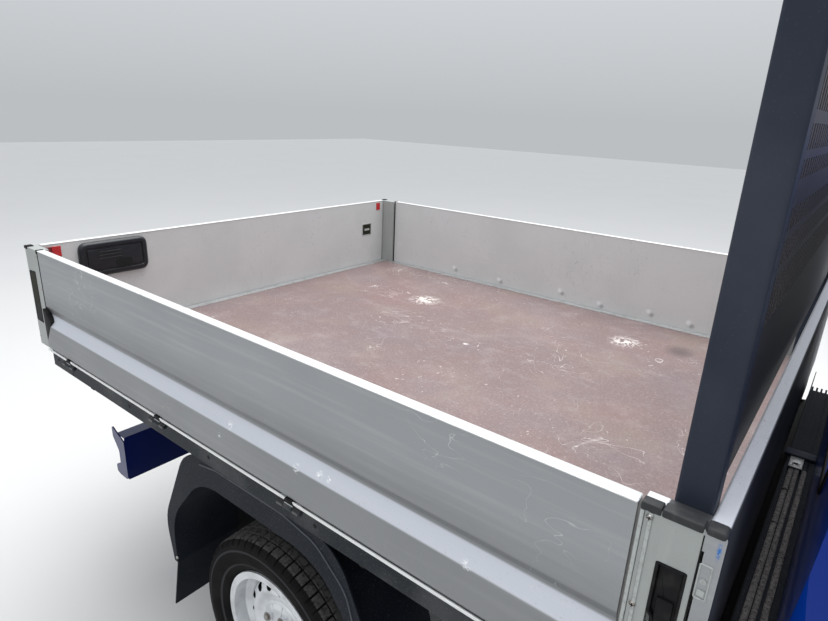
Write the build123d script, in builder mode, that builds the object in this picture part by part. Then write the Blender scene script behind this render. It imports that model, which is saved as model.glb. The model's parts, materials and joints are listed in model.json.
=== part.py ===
from build123d import *
from math import asin, cos, degrees, radians, sin
import os

# Crew-cab truck with a drop-side tipping bed, in millimetres.
# +X points forward, +Y to the left and +Z up, from the ground under the middle of the vehicle.

os.makedirs("parts", exist_ok=True)

# Whole vehicle
wheelbase = 3400
front_overhang = 908
rear_overhang = 1217
tail_reach = 25
nose = (front_overhang + wheelbase + rear_overhang + tail_reach) / 2
bed_rear = tail_reach - nose
rear_axle = bed_rear + rear_overhang
front_axle = rear_axle + wheelbase

# Clearances
seat_gap = 0.3
moving_gap = 5
panel_gap = 6
pin_clearance = 0.05

# Bed
bed_length = 2346
bed_half = 997
rim_height = 1407
board_height = 372
board_thickness = 23
board_bulge = 13
floor_drop = 370
floor_thickness = 18
floor_half = 955
front_wall_thickness = 28
rear_pillar_length = 103
front_pillar_length = 87
pillar_depth = 40
edge_strip_half = 969
rail_half = 965
rail_width = 40
rail_bottom = 929
bed_front = bed_rear + bed_length
floor_top = rim_height - floor_drop
floor_bottom = floor_top - floor_thickness
board_bottom = rim_height - board_height
board_inner = bed_half - board_thickness

# Tipping gear
tip_x = bed_rear + 250
tip_z = 909
tip_pin_radius = 16
tip_ear = 32
bed_beam_half = 430
bed_beam_width = 60
bed_beam_bottom = 869
bed_beam_top = 949
ram_reach = 850
ram_closed = 420
ram_radii = (60, 48, 36)
ram_pin_radius = 12

# Chassis
chassis_rail_half = 430
chassis_rail_width = 70
chassis_rail_bottom = 640
chassis_rail_top = 760
cab_rail_bottom = 400
cab_rail_top = 520
subframe_top = 849

# Board hinges
board_hinge_out = 15
board_hinge_z = 1022
board_hinge_radius = 9
board_pin_radius = 5
side_hinge_places = (0.08, 0.36, 0.64, 0.92)
tail_hinge_places = (0.1, 0.5, 0.9)

# Headboard
post_width = 53
post_depth = 50
post_rise = 720
panel_thickness = 4
slot_width = 14
slot_pitch = 30
slot_rows = ((245, 320), (333, 372), (385, 418), (455, 482), (494, 528), (545, 600))
tube_radius = 14

# Rear beam and mudguards
beam_front = bed_rear + 232
beam_half = 840
beam_plate = 5
beam_low = 437
beam_high = 634
beam_lip = 60
coupling_hole_radius = 7
coupling_hole_span = 90
coupling_hole_rise = 56
guard_outer = 945
guard_inner = 690
guard_skin = 5

# Wheels and tyres
tyre_radius = 340
tyre_width = 215
track = 1620
wheel_half_track = track / 2
flange_radius = 220
seat_radius = 204
well_radius = 178
rim_half = 86
rim_wall = 7
hole_count = 16
hole_ring = 150
hole_radius = 14
hub_radius = 78
stud_ring = 60
stud_count = 5

# Steering and suspension
kingpin_half = 735
kingpin_radius = 12
upright_radius = 22
arm_drop = 120
arm_thickness = 30
strut_half = 625
strut_radius = 28
brake_radius = 140
leaf_reach = 480
leaf_rise = 180
leaf_lift = 40

# Cab
cab_gap = 84
cab_half = 952
cab_rear = bed_front + cab_gap
body_bottom = 300
belt_height = 1150
roof_height = 1977
header_x = 1215
cowl_x = 2010
cowl_top = 1190
cab_wall = 60
bay_wall = 45
cab_floor_bottom = 520
cab_floor_top = 560
firewall = 1730
firewall_thickness = 60
cowl_height = cowl_top - cab_wall
centre_split = 740
sill_inner = 800
screen_low = 1235
screen_high = 1865
screen_half_low = 794
screen_half_high = 709
glass_setback = 14
glass_thickness = 5
seat_half = 420
front_seat_edge = 1160
rear_seat_edge = 310
cushion_height = 320
wheel_rise = 550

# Doors
door_bottom = 400
door_top = 1815
front_door_rear = 468
front_door_front = 1472
rear_door_rear = -185
rear_door_front = 412
door_slope = 0.25
door_sill_gap = 15
window_border = 75
window_bottom = belt_height + 50
door_hinge_back = 20
door_hinge_out = 2
door_hinge_heights = (620, 1060)
door_hinge_radius = 8
door_pin_radius = 4

# Wheel arch, bonnet and nose
arch_radius = 415
arch_inner = 500
arch_skin = 6
bonnet_wall = 40
bonnet_rear = 2038
bonnet_front = 2628
bonnet_half_rear = 735
bonnet_half_front = 600
bonnet_shoulder = 110
bonnet_hinge_half = 560
bumper_top = 655
lamp_top = 905
lamp_inner = 440
lamp_outer = 905
bumper_rear = front_axle + arch_radius + 20
lamp_rear = bumper_rear + 138
roof_split = screen_low + 160


# Shared forms
def block(x, y, z, mode=Mode.ADD):
    """A box between the low and high values along x, y and z."""
    middle = ((x[0] + x[1]) / 2, (y[0] + y[1]) / 2, (z[0] + z[1]) / 2)
    with Locations(middle):
        Box(x[1] - x[0], y[1] - y[0], z[1] - z[0], mode=mode)


def bar(start, end, radius, mode=Mode.ADD):
    """A round bar between two points."""
    run = Vector(end) - Vector(start)
    with Locations(Plane(origin=start, z_dir=run)):
        Cylinder(radius, run.length, align=(Align.CENTER, Align.CENTER, Align.MIN), mode=mode)


def outline(rows, mode=Mode.ADD):
    """A filled outline from rows of (across, up, corner radius)."""
    with BuildLine() as edge:
        FilletPolyline(*[row[:2] for row in rows], radius=[row[2] for row in rows], close=True)
    make_face(edge.edges(), mode=mode)


def prism_y(rows, y, mode=Mode.ADD):
    """Rows of (x, z, radius) run along y between two values."""
    with BuildSketch(Plane.XZ.offset(-y[1])) as face:
        outline(rows)
    extrude(face.sketch, amount=y[1] - y[0], mode=mode)


def prism_x(rows, x, mode=Mode.ADD):
    """Rows of (y, z, radius) run along x between two values."""
    with BuildSketch(Plane.YZ.offset(x[0])) as face:
        outline(rows)
    extrude(face.sketch, amount=x[1] - x[0], mode=mode)


def prism_z(rows, z, mode=Mode.ADD):
    """Rows of (x, y, radius) run along z between two values."""
    with BuildSketch(Plane.XY.offset(z[0])) as face:
        outline(rows)
    extrude(face.sketch, amount=z[1] - z[0], mode=mode)


def keep(piece, name):
    """Label a finished piece and write its file."""
    piece.label = name
    export_step(piece, f"parts/{name}.step")


def left_of(piece):
    """The same piece on the other side of the vehicle."""
    return mirror(piece, about=Plane.XZ, mode=Mode.PRIVATE)


# Board section: rows of (outward from the inner face, up from the bottom edge, corner radius)
board_section = (
    (0, 0, 0),
    (0, board_height, 0),
    (board_thickness, board_height, 0),
    (board_thickness, 0.45 * board_height, 18),
    (board_thickness - 8, 0.39 * board_height, 14),
    (board_thickness + board_bulge, 0.27 * board_height, 12),
    (board_thickness + board_bulge, 12, 4),
    (board_thickness + 4, 0, 3),
)


def hinge_centres(low, high, places):
    """Places along an edge, as shares of its length."""
    return [low + place * (high - low) for place in places]


side_board_rear = bed_rear + rear_pillar_length + moving_gap
side_board_front = bed_front - front_wall_thickness - front_pillar_length - moving_gap
side_hinges = hinge_centres(side_board_rear, side_board_front, side_hinge_places)
tailgate_half = bed_half - pillar_depth - moving_gap
tail_hinges = hinge_centres(-tailgate_half, tailgate_half, tail_hinge_places)
side_axis = bed_half + board_hinge_out
tail_axis = bed_rear - board_hinge_out

# Side boards
with BuildPart() as side_board:
    with BuildSketch(Plane.YZ.offset(side_board_rear)):
        outline([(-board_inner - out, board_bottom + up, r) for out, up, r in board_section])
    extrude(amount=side_board_front - side_board_rear)
    for hinge_x in side_hinges:
        for step in (-1, 1):
            lug_x = hinge_x + step * 28
            bar(
                (lug_x - 10, -side_axis, board_hinge_z),
                (lug_x + 10, -side_axis, board_hinge_z),
                board_hinge_radius,
            )
            block(
                (lug_x - 10, lug_x + 10),
                (-side_axis, -side_axis + 12),
                (board_hinge_z, board_bottom + 4),
            )
        bar(
            (hinge_x - 45, -side_axis, board_hinge_z),
            (hinge_x + 45, -side_axis, board_hinge_z),
            board_pin_radius + pin_clearance,
            Mode.SUBTRACT,
        )
keep(side_board.part, "side_board_right")
keep(left_of(side_board.part), "side_board_left")

# Tailgate
with BuildPart() as tailgate:
    with BuildSketch(Plane.XZ.offset(-tailgate_half)):
        outline([(bed_rear + board_thickness - out, board_bottom + up, r) for out, up, r in board_section])
    extrude(amount=2 * tailgate_half)
    for hinge_y in tail_hinges:
        for step in (-1, 1):
            lug_y = hinge_y + step * 28
            bar(
                (tail_axis, lug_y - 10, board_hinge_z),
                (tail_axis, lug_y + 10, board_hinge_z),
                board_hinge_radius,
            )
            block(
                (tail_axis, tail_axis + 12),
                (lug_y - 10, lug_y + 10),
                (board_hinge_z, board_bottom + 4),
            )
        bar(
            (tail_axis, hinge_y - 45, board_hinge_z),
            (tail_axis, hinge_y + 45, board_hinge_z),
            board_pin_radius + pin_clearance,
            Mode.SUBTRACT,
        )
keep(tailgate.part, "tailgate")

# Folding-step moulding on the tailgate's inner face
step_rear = bed_rear + board_thickness + seat_gap
step_low_y = -830
step_high_y = -560
step_low_z = rim_height - 150
step_high_z = rim_height - 12
with BuildPart() as tail_step:
    block((step_rear, step_rear + 22), (step_low_y, step_high_y), (step_low_z, step_high_z))
    fillet(tail_step.edges().filter_by(Axis.X), 14)
    fillet(tail_step.faces().sort_by(Axis.X)[-1].edges(), 5)
    for rib in range(5):
        rib_z = step_low_z + 22 + rib * 16
        block(
            (step_rear + 16, step_rear + 30),
            (step_low_y + 24, step_high_y - 24),
            (rib_z, rib_z + 5),
            Mode.SUBTRACT,
        )
    block(
        (step_rear + 8, step_rear + 30),
        (step_low_y + 70, step_high_y - 70),
        (step_high_z - 34, step_high_z - 12),
        Mode.SUBTRACT,
    )
keep(tail_step.part, "tailgate_step")

# Bed frame: side rails, end rails, floor edge strips and the hinge lugs of the drop sides
rail_inner = rail_half - rail_width
with BuildPart() as bed_frame:
    for side in (-1, 1):
        rail_span = sorted((side * rail_half, side * rail_inner))
        block((bed_rear + 4, bed_front - 4), rail_span, (rail_bottom, floor_bottom))
        strip_span = sorted((side * floor_half, side * edge_strip_half))
        block((bed_rear + 28, bed_front - 4), strip_span, (floor_bottom - 20, floor_top))
    inner_span = (-rail_half + 1, rail_half - 1)
    block((bed_rear + 4, bed_rear + 4 + rail_width), inner_span, (rail_bottom, floor_bottom))
    block((bed_rear + 28, bed_rear + 40), inner_span, (floor_bottom - 1, floor_top))
    block((bed_front - 4 - rail_width, bed_front - 4), inner_span, (rail_bottom, floor_bottom))
    block((bed_front - 50, bed_front - 4), inner_span, (floor_bottom - 1, floor_top))
    for side in (-1, 1):
        for hinge_x in side_hinges:
            lug_span = sorted((side * (rail_half - 1), side * side_axis))
            block(
                (hinge_x - 15, hinge_x + 15),
                lug_span,
                (board_hinge_z - board_hinge_radius, board_hinge_z + 4),
            )
            bar(
                (hinge_x - 15, side * side_axis, board_hinge_z),
                (hinge_x + 15, side * side_axis, board_hinge_z),
                board_hinge_radius,
            )
            bar(
                (hinge_x - 42, side * side_axis, board_hinge_z),
                (hinge_x + 42, side * side_axis, board_hinge_z),
                board_pin_radius,
            )
    for hinge_y in tail_hinges:
        block(
            (tail_axis, bed_rear + 6),
            (hinge_y - 15, hinge_y + 15),
            (board_hinge_z - board_hinge_radius, board_hinge_z + 4),
        )
        bar(
            (tail_axis, hinge_y - 15, board_hinge_z),
            (tail_axis, hinge_y + 15, board_hinge_z),
            board_hinge_radius,
        )
        bar(
            (tail_axis, hinge_y - 42, board_hinge_z),
            (tail_axis, hinge_y + 42, board_hinge_z),
            board_pin_radius,
        )
keep(bed_frame.part, "bed_frame")

# Bed beams: two long beams bored for the tipping pins, cross members and the ears over the ram's eye
cross_half = rail_inner - seat_gap
with BuildPart() as bed_beams:
    for side in (-1, 1):
        beam_span = sorted((
            side * (bed_beam_half - bed_beam_width / 2),
            side * (bed_beam_half + bed_beam_width / 2),
        ))
        block(
            (tip_x, bed_front - 4 - rail_width - seat_gap),
            beam_span,
            (bed_beam_bottom, bed_beam_top),
        )
        bar(
            (tip_x, beam_span[0], tip_z),
            (tip_x, beam_span[1], tip_z),
            tip_z - bed_beam_bottom,
        )
    cross_count = 6
    for number in range(cross_count):
        cross_x = bed_rear + 250 + number * (bed_length - 380) / (cross_count - 1)
        block(
            (cross_x - 25, cross_x + 25),
            (-cross_half, cross_half),
            (bed_beam_top - 1, floor_bottom),
        )
    ram_eye_x = tip_x + ram_reach
    for side in (-1, 1):
        ear_span = sorted((side * 38, side * 50))
        block((ram_eye_x - 45, ram_eye_x + 45), ear_span, (tip_z - 40, floor_bottom))
    block((ram_eye_x - 80, ram_eye_x + 80), (-400, 400), (floor_bottom - 30, floor_bottom))
    for side in (-1, 1):
        bore_span = sorted((side * (bed_beam_half - 60), side * (bed_beam_half + 60)))
        bar(
            (tip_x, bore_span[0], tip_z),
            (tip_x, bore_span[1], tip_z),
            tip_pin_radius + pin_clearance,
            Mode.SUBTRACT,
        )
keep(bed_beams.part, "bed_beams")

# Plywood floor, notched around the posts of the headboard
wall_rear = bed_front - front_wall_thickness
post_front = wall_rear - seat_gap
post_outer = bed_half - pillar_depth
floor_front = bed_front - 50 - seat_gap
with BuildPart() as bed_floor:
    block(
        (bed_rear + 40 + seat_gap, floor_front),
        (-floor_half + seat_gap, floor_half - seat_gap),
        (floor_bottom + seat_gap, floor_top),
    )
    for side in (-1, 1):
        notch_span = sorted((side * (post_outer - post_depth - seat_gap), side * bed_half))
        block(
            (post_front - post_width - seat_gap, bed_front),
            notch_span,
            (floor_bottom, floor_top + 1),
            Mode.SUBTRACT,
        )
keep(bed_floor.part, "bed_floor")

# Front wall with its thicker top rail
with BuildPart() as front_wall:
    block((wall_rear + 4, bed_front), (-bed_half, bed_half), (floor_top + seat_gap, rim_height - 30))
    block((wall_rear, bed_front), (-bed_half, bed_half), (rim_height - 34, rim_height))
    block((wall_rear, bed_front), (-bed_half, bed_half), (floor_top + seat_gap, floor_top + 40))
    fillet(front_wall.edges().filter_by(Axis.Y).group_by(Axis.Z)[-1], 5)
keep(front_wall.part, "front_wall")

# Corner pillars with latch recesses
with BuildPart() as corner_pillars:
    rear_span = (-bed_half, -bed_half + pillar_depth)
    block((bed_rear, bed_rear + rear_pillar_length), rear_span, (floor_top + seat_gap, rim_height))
    block(
        (bed_rear, bed_rear + rear_pillar_length),
        (-bed_half, -edge_strip_half - seat_gap),
        (board_bottom - 6, floor_top + 2),
    )
    block(
        (bed_rear + 26, bed_rear + 60),
        (-bed_half - 1, -bed_half + 16),
        (rim_height - 240, rim_height - 90),
        Mode.SUBTRACT,
    )
    front_pillar_rear = wall_rear - front_pillar_length
    front_span = (-bed_half, -bed_half + pillar_depth - seat_gap)
    block((front_pillar_rear, wall_rear - seat_gap), front_span, (floor_top + seat_gap, rim_height))
    block(
        (front_pillar_rear, wall_rear - seat_gap),
        (-bed_half, -edge_strip_half - seat_gap),
        (board_bottom - 6, floor_top + 2),
    )
    block(
        (front_pillar_rear + 34, front_pillar_rear + 77),
        (-bed_half - 1, -bed_half + 16),
        (rim_height - 230, rim_height - 82),
        Mode.SUBTRACT,
    )
    mirror(about=Plane.XZ)
keep(corner_pillars.part, "corner_pillars")

# Headboard: two posts that stand on the bed's rails, and three cross tubes
post_top = rim_height + post_rise
tube_x = post_front - post_width / 2
tube_half = post_outer - post_depth + 5
tube_heights = (rim_height + 12, rim_height + 436, post_top - 22)
with BuildPart() as headboard:
    for side in (-1, 1):
        post_span = sorted((side * post_outer, side * (post_outer - post_depth)))
        block((post_front - post_width, post_front), post_span, (floor_top + seat_gap, post_top))
    fillet(headboard.edges().filter_by(Axis.Z), 6)
    for side in (-1, 1):
        foot_span = sorted((side * (post_outer - 6), side * (post_outer - post_depth + 6)))
        block(
            (post_front - post_width + 6, floor_front),
            foot_span,
            (floor_bottom + seat_gap, floor_top + 1),
        )
    for tube_z in tube_heights:
        bar((tube_x, -tube_half, tube_z), (tube_x, tube_half, tube_z), tube_radius)
keep(headboard.part, "headboard")

# Slotted panel on the front of the cross tubes
panel_x = tube_x + tube_radius + seat_gap
panel_half = post_outer - post_depth - seat_gap
panel_low = rim_height + seat_gap
panel_high = post_top - 50
panel_middle = (panel_low + panel_high) / 2
slot_number = int(2 * (panel_half - 35) / slot_pitch)
with BuildPart() as headboard_panel:
    with BuildSketch(Plane.YZ.offset(panel_x)):
        with Locations((0, panel_middle)):
            Rectangle(2 * panel_half, panel_high - panel_low)
        for low, high in slot_rows:
            with Locations((0, rim_height + (low + high) / 2)):
                with GridLocations(slot_pitch, 0, slot_number, 1):
                    Rectangle(slot_width, high - low, mode=Mode.SUBTRACT)
    extrude(amount=panel_thickness)
keep(headboard_panel.part, "headboard_panel")

# Chassis frame: two rails that rise behind the cab, joined by cross members
rail_rear = tip_x - 60
rail_front = nose - 262
kick_front = cab_rear - 50
kick_rear = kick_front - 150
bed_rail_rows = (
    (rail_rear, chassis_rail_bottom, 0),
    (kick_rear, chassis_rail_bottom, 60),
    (kick_front, cab_rail_bottom, 60),
    (rail_front, cab_rail_bottom, 0),
    (rail_front, cab_rail_top - seat_gap, 0),
    (kick_front, cab_rail_top - seat_gap, 60),
    (kick_rear, chassis_rail_top, 60),
    (rail_rear, chassis_rail_top, 0),
)
bed_cross_z = chassis_rail_bottom + 40
cab_cross_z = cab_rail_bottom + 30
frame_cross_places = (
    (rail_rear + 30, bed_cross_z),
    (rear_axle + 460, bed_cross_z),
    (kick_rear - 60, bed_cross_z),
    (cab_rear + 420, cab_cross_z),
    (firewall - 260, cab_cross_z),
    (rail_front - 40, cab_cross_z),
)
with BuildPart() as chassis_frame:
    prism_y(
        bed_rail_rows,
        (-chassis_rail_half - chassis_rail_width / 2, -chassis_rail_half + chassis_rail_width / 2),
    )
    mirror(about=Plane.XZ)
    for cross_x, cross_z in frame_cross_places:
        block(
            (cross_x - 30, cross_x + 30),
            (-chassis_rail_half, chassis_rail_half),
            (cross_z - 35, cross_z + 35),
        )
keep(chassis_frame.part, "chassis_frame")

# Tipping subframe with hinge ears, rest pads and the ram's cradle
ear_inner = bed_beam_half + bed_beam_width / 2 + moving_gap
ear_thickness = 14
ram_swing = 2 * degrees(asin(ram_closed / (2 * ram_reach)))
eye_slope = -1
base_slope = eye_slope - ram_swing
ram_eye = Vector(
    tip_x + ram_reach * cos(radians(eye_slope)),
    0,
    tip_z + ram_reach * sin(radians(eye_slope)),
)
ram_base = Vector(
    tip_x + ram_reach * cos(radians(base_slope)),
    0,
    tip_z + ram_reach * sin(radians(base_slope)),
)
ram_line = (ram_eye - ram_base).normalized()
cradle_half = ram_radii[0] + 10
subframe_bottom = chassis_rail_top + seat_gap
pad_places = (tip_x + 300, rear_axle + 200)
with BuildPart() as tipper_subframe:
    for side in (-1, 1):
        beam_span = sorted((
            side * (chassis_rail_half - bed_beam_width / 2),
            side * (chassis_rail_half + bed_beam_width / 2),
        ))
        block((rail_rear, kick_rear - 30), beam_span, (subframe_bottom, subframe_top))
        for pad_x in pad_places:
            block((pad_x - 50, pad_x + 50), beam_span, (subframe_top - 1, bed_beam_bottom - seat_gap))
        for inner in (ear_inner, bed_beam_half - bed_beam_width / 2 - moving_gap - ear_thickness):
            ear_span = sorted((side * inner, side * (inner + ear_thickness)))
            ear_rows = (
                (tip_x - 55, subframe_top - 60, 0),
                (tip_x + 70, subframe_top - 60, 0),
                (tip_x + tip_ear, tip_z + tip_ear, tip_ear - 1),
                (tip_x - tip_ear, tip_z + tip_ear, tip_ear - 1),
            )
            prism_y(ear_rows, ear_span)
        pin_span = sorted((
            side * (bed_beam_half - bed_beam_width / 2 - moving_gap - ear_thickness - 6),
            side * (ear_inner + ear_thickness + 6),
        ))
        bar((tip_x, pin_span[0], tip_z), (tip_x, pin_span[1], tip_z), tip_pin_radius)
    # Cross members that the ram passes between
    for cross_x in (rail_rear + 30, ram_base.X - 170, ram_base.X + 230, kick_rear - 70):
        block(
            (cross_x - 25, cross_x + 25),
            (-chassis_rail_half, chassis_rail_half),
            (subframe_bottom, subframe_bottom + 60),
        )
    # Cradle plates that hold the ram's trunnion
    for side in (-1, 1):
        plate_span = sorted((side * cradle_half, side * (cradle_half + 12)))
        plate_rows = (
            (ram_base.X - 190, subframe_bottom + 50, 0),
            (ram_base.X - 60, ram_base.Z - 45, 30),
            (ram_base.X + 60, ram_base.Z - 45, 30),
            (ram_base.X + 250, subframe_bottom + 50, 0),
        )
        prism_y(plate_rows, plate_span)
        bar(
            (ram_base.X, side * (cradle_half - 9.5), ram_base.Z),
            (ram_base.X, side * (cradle_half + 30), ram_base.Z),
            ram_pin_radius,
        )
keep(tipper_subframe.part, "tipper_subframe")


def ram_point(distance):
    """A point on the ram's line, from its base pin."""
    return ram_base + ram_line * distance


# Telescopic ram: a barrel on trunnions and two stages
barrel_foot = -70
barrel_top = ram_closed - 60
with BuildPart() as ram_barrel:
    bar(ram_point(barrel_foot), ram_point(barrel_top), ram_radii[0])
    bar(ram_point(10), ram_point(barrel_top + 5), ram_radii[1] + 1, Mode.SUBTRACT)
    bar(
        (ram_base.X, -cradle_half - 9, ram_base.Z),
        (ram_base.X, cradle_half + 9, ram_base.Z),
        ram_pin_radius + pin_clearance,
        Mode.SUBTRACT,
    )
keep(ram_barrel.part, "ram_barrel")

with BuildPart() as ram_stage:
    bar(ram_point(15), ram_point(barrel_top + 12), ram_radii[1])
    bar(ram_point(25), ram_point(barrel_top + 20), ram_radii[2] + 1, Mode.SUBTRACT)
keep(ram_stage.part, "ram_stage")

with BuildPart() as ram_rod:
    bar(ram_point(30), ram_point(ram_closed - 20), ram_radii[2])
    bar((ram_eye.X, -30, ram_eye.Z), (ram_eye.X, 30, ram_eye.Z), 28)
keep(ram_rod.part, "ram_rod")

# Rear lamp beam: a channel that opens to the rear, with shaped end plates and two hangers
with BuildPart() as rear_beam:
    block((beam_front - beam_plate, beam_front), (-beam_half, beam_half), (beam_low, beam_high))
    block((beam_front - beam_lip, beam_front), (-beam_half, beam_half), (beam_low, beam_low + beam_plate))
    block((beam_front - beam_lip, beam_front), (-beam_half, beam_half), (beam_high - beam_plate, beam_high))
    end_rows = (
        (beam_front, beam_low, 12),
        (beam_front, beam_high - 20, 0),
        (beam_front - 90, beam_high + 24, 6),
        (beam_front - 90, beam_high - 24, 14),
        (beam_front - 50, beam_high - 80, 30),
        (beam_front - 50, beam_low + 62, 14),
        (beam_front - 88, beam_low + 40, 10),
        (beam_front - 88, beam_low + 8, 12),
        (beam_front - 60, beam_low, 12),
    )
    prism_y(end_rows, (-beam_half - beam_plate, -beam_half))
    prism_y(end_rows, (beam_half, beam_half + beam_plate))
    for side in (-1, 1):
        hanger_span = sorted((side * (chassis_rail_half - 30), side * (chassis_rail_half + 30)))
        block(
            (beam_front - 1, beam_front + 60),
            hanger_span,
            (beam_low + 40, chassis_rail_bottom - seat_gap),
        )
    # Holes for a coupling plate
    beam_middle = (beam_low + beam_high) / 2
    with Locations(Plane(origin=(beam_front, 0, beam_middle), x_dir=(0, 1, 0), z_dir=(1, 0, 0))):
        with GridLocations(coupling_hole_span, coupling_hole_rise, 2, 2):
            Cylinder(coupling_hole_radius, 40, mode=Mode.SUBTRACT)
keep(rear_beam.part, "rear_beam")

# Rear mudguards: an arch band, an outer skirt, a flap and two arms from the frame
guard_rows_outer = (
    (rear_axle - 470, tyre_radius + 60, 0),
    (rear_axle - 500, tyre_radius + 230, 200),
    (rear_axle - 330, tyre_radius + 575, 160),
    (rear_axle + 330, tyre_radius + 575, 160),
    (rear_axle + 500, tyre_radius + 230, 200),
    (rear_axle + 520, tyre_radius - 60, 0),
)
guard_rows_inner = (
    (rear_axle + 470, tyre_radius - 60, 0),
    (rear_axle + 455, tyre_radius + 250, 240),
    (rear_axle + 260, tyre_radius + 485, 200),
    (rear_axle - 260, tyre_radius + 485, 200),
    (rear_axle - 455, tyre_radius + 250, 240),
    (rear_axle - 450, tyre_radius + 60, 0),
)
flap_rows = (
    (rear_axle - 452, tyre_radius + 70, 0),
    (rear_axle - 458, tyre_radius + 70, 0),
    (rear_axle - 512, tyre_radius - 165, 0),
    (rear_axle - 506, tyre_radius - 165, 0),
)
rail_outer = chassis_rail_half + chassis_rail_width / 2
with BuildPart() as rear_mudguards:
    prism_y(guard_rows_outer + guard_rows_inner, (-guard_outer, -guard_outer + guard_skin))
    band_rows = [
        (
            x + guard_skin * (1 if x > rear_axle else -1),
            z + (guard_skin if z > tyre_radius + 400 else 0),
            radius,
        )
        for x, z, radius in reversed(guard_rows_inner)
    ]
    prism_y(tuple(band_rows) + guard_rows_inner, (-guard_outer, -guard_inner))
    prism_y(flap_rows, (-guard_outer + guard_skin, -guard_inner))
    arm_top = tyre_radius + 485 + guard_skin
    for arm_x in (rear_axle - 200, rear_axle + 200):
        block(
            (arm_x - 15, arm_x + 15),
            (-guard_inner - 150, -rail_outer - seat_gap),
            (arm_top - 1, arm_top + 20),
        )
        block(
            (arm_x - 15, arm_x + 15),
            (-rail_outer - 12, -rail_outer - seat_gap),
            (chassis_rail_bottom + 20, arm_top + 20),
        )
    mirror(about=Plane.XZ)
keep(rear_mudguards.part, "rear_mudguards")

# Wheels: rows of (distance from the middle plane, outward positive, radius)
rim_rows = (
    (rim_half, flange_radius),
    (rim_half - 8, flange_radius),
    (rim_half - 12, seat_radius),
    (rim_half - 45, seat_radius - 2),
    (rim_half - 60, well_radius),
    (-rim_half + 80, well_radius),
    (-rim_half + 55, seat_radius - 2),
    (-rim_half + 12, seat_radius),
    (-rim_half + 8, flange_radius),
    (-rim_half, flange_radius),
    (-rim_half, seat_radius - rim_wall),
    (-rim_half + 52, seat_radius - rim_wall - 2),
    (-rim_half + 82, well_radius - rim_wall),
    (rim_half - 62, well_radius - rim_wall),
    (rim_half - 42, seat_radius - rim_wall - 2),
    (rim_half, seat_radius - rim_wall),
)
# Rows of (distance from the middle plane, radius, corner radius)
disc_rows = (
    (rim_half - 70, well_radius - 2, 0),
    (rim_half - 40, well_radius - 24, 14),
    (rim_half - 30, hole_ring - 22, 20),
    (rim_half - 52, hub_radius + 26, 16),
    (rim_half - 36, hub_radius - 6, 10),
    (rim_half - 36, 34, 4),
    (rim_half - 20, 30, 4),
    (rim_half - 20, 0, 0),
    (rim_half - 45, 0, 0),
    (rim_half - 45, hub_radius - 10, 6),
    (rim_half - 62, hub_radius + 28, 16),
    (rim_half - 40, hole_ring - 22, 20),
    (rim_half - 50, well_radius - 28, 14),
    (rim_half - 82, well_radius - 2, 0),
)
tyre_rows = (
    (-rim_half + 9, flange_radius + seat_gap, 0),
    (-rim_half - 14, flange_radius + 30, 30),
    (-tyre_width / 2, flange_radius + 72, 40),
    (-tyre_width / 2 + 12, tyre_radius - 14, 24),
    (-tyre_width / 2 + 34, tyre_radius, 0),
    (tyre_width / 2 - 34, tyre_radius, 0),
    (tyre_width / 2 - 12, tyre_radius - 14, 24),
    (tyre_width / 2, flange_radius + 72, 40),
    (rim_half + 14, flange_radius + 30, 30),
    (rim_half - 9, flange_radius + seat_gap, 0),
    (rim_half - 12.5, seat_radius + seat_gap, 0),
    (-rim_half + 12.5, seat_radius + seat_gap, 0),
)

with BuildPart() as rim:
    with BuildSketch(Plane.XZ):
        outline([(radius, out, 0) for out, radius in rim_rows])
        outline([(radius, out, corner) for out, radius, corner in disc_rows])
    revolve(axis=Axis.Z)
    with PolarLocations(hole_ring, hole_count):
        Hole(hole_radius)
    with Locations((0, 0, rim_half - 40)):
        with PolarLocations(stud_ring, stud_count):
            Cylinder(11, 18, align=(Align.CENTER, Align.CENTER, Align.MIN))

with BuildPart() as tyre:
    with BuildSketch(Plane.XZ):
        outline([(radius, out, corner) for out, radius, corner in tyre_rows])
    revolve(axis=Axis.Z)


def wheel_plane(x, side):
    """A plane at a wheel's centre, its z axis pointing out of the vehicle."""
    return Plane(origin=(x, side * wheel_half_track, tyre_radius), x_dir=(1, 0, 0), z_dir=(0, side, 0))


# Rows of (place, axle, side)
wheel_places = (
    ("front_left", front_axle, 1),
    ("front_right", front_axle, -1),
    ("rear_left", rear_axle, 1),
    ("rear_right", rear_axle, -1),
)
for place, wheel_x, side in wheel_places:
    where = wheel_plane(wheel_x, side).location
    keep(rim.part.moved(where), f"rim_{place}")
    keep(tyre.part.moved(where), f"tyre_{place}")

# Steering knuckles: an upright between two pins, a hub and a brake disc
hub_face = wheel_half_track + rim_half - 45 - seat_gap
arm_low = tyre_radius - arm_drop - arm_thickness / 2
arm_high = arm_low + arm_thickness
bracket_low = tyre_radius + arm_drop - arm_thickness / 2
bracket_high = bracket_low + 20
with BuildPart() as knuckle:
    kingpin_foot = (front_axle, -kingpin_half, arm_low + 1)
    kingpin_head = (front_axle, -kingpin_half, bracket_high - 1)
    bar(kingpin_foot, kingpin_head, kingpin_radius)
    bar(
        (front_axle, -kingpin_half, arm_high + moving_gap),
        (front_axle, -kingpin_half, bracket_low - moving_gap),
        upright_radius,
    )
    bar(
        (front_axle, -kingpin_half, tyre_radius),
        (front_axle, -hub_face, tyre_radius),
        45,
    )
    bar(
        (front_axle, -kingpin_half - 40, tyre_radius),
        (front_axle, -kingpin_half - 60, tyre_radius),
        brake_radius,
    )
keep(knuckle.part, "knuckle_right")
keep(left_of(knuckle.part), "knuckle_left")

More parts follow.
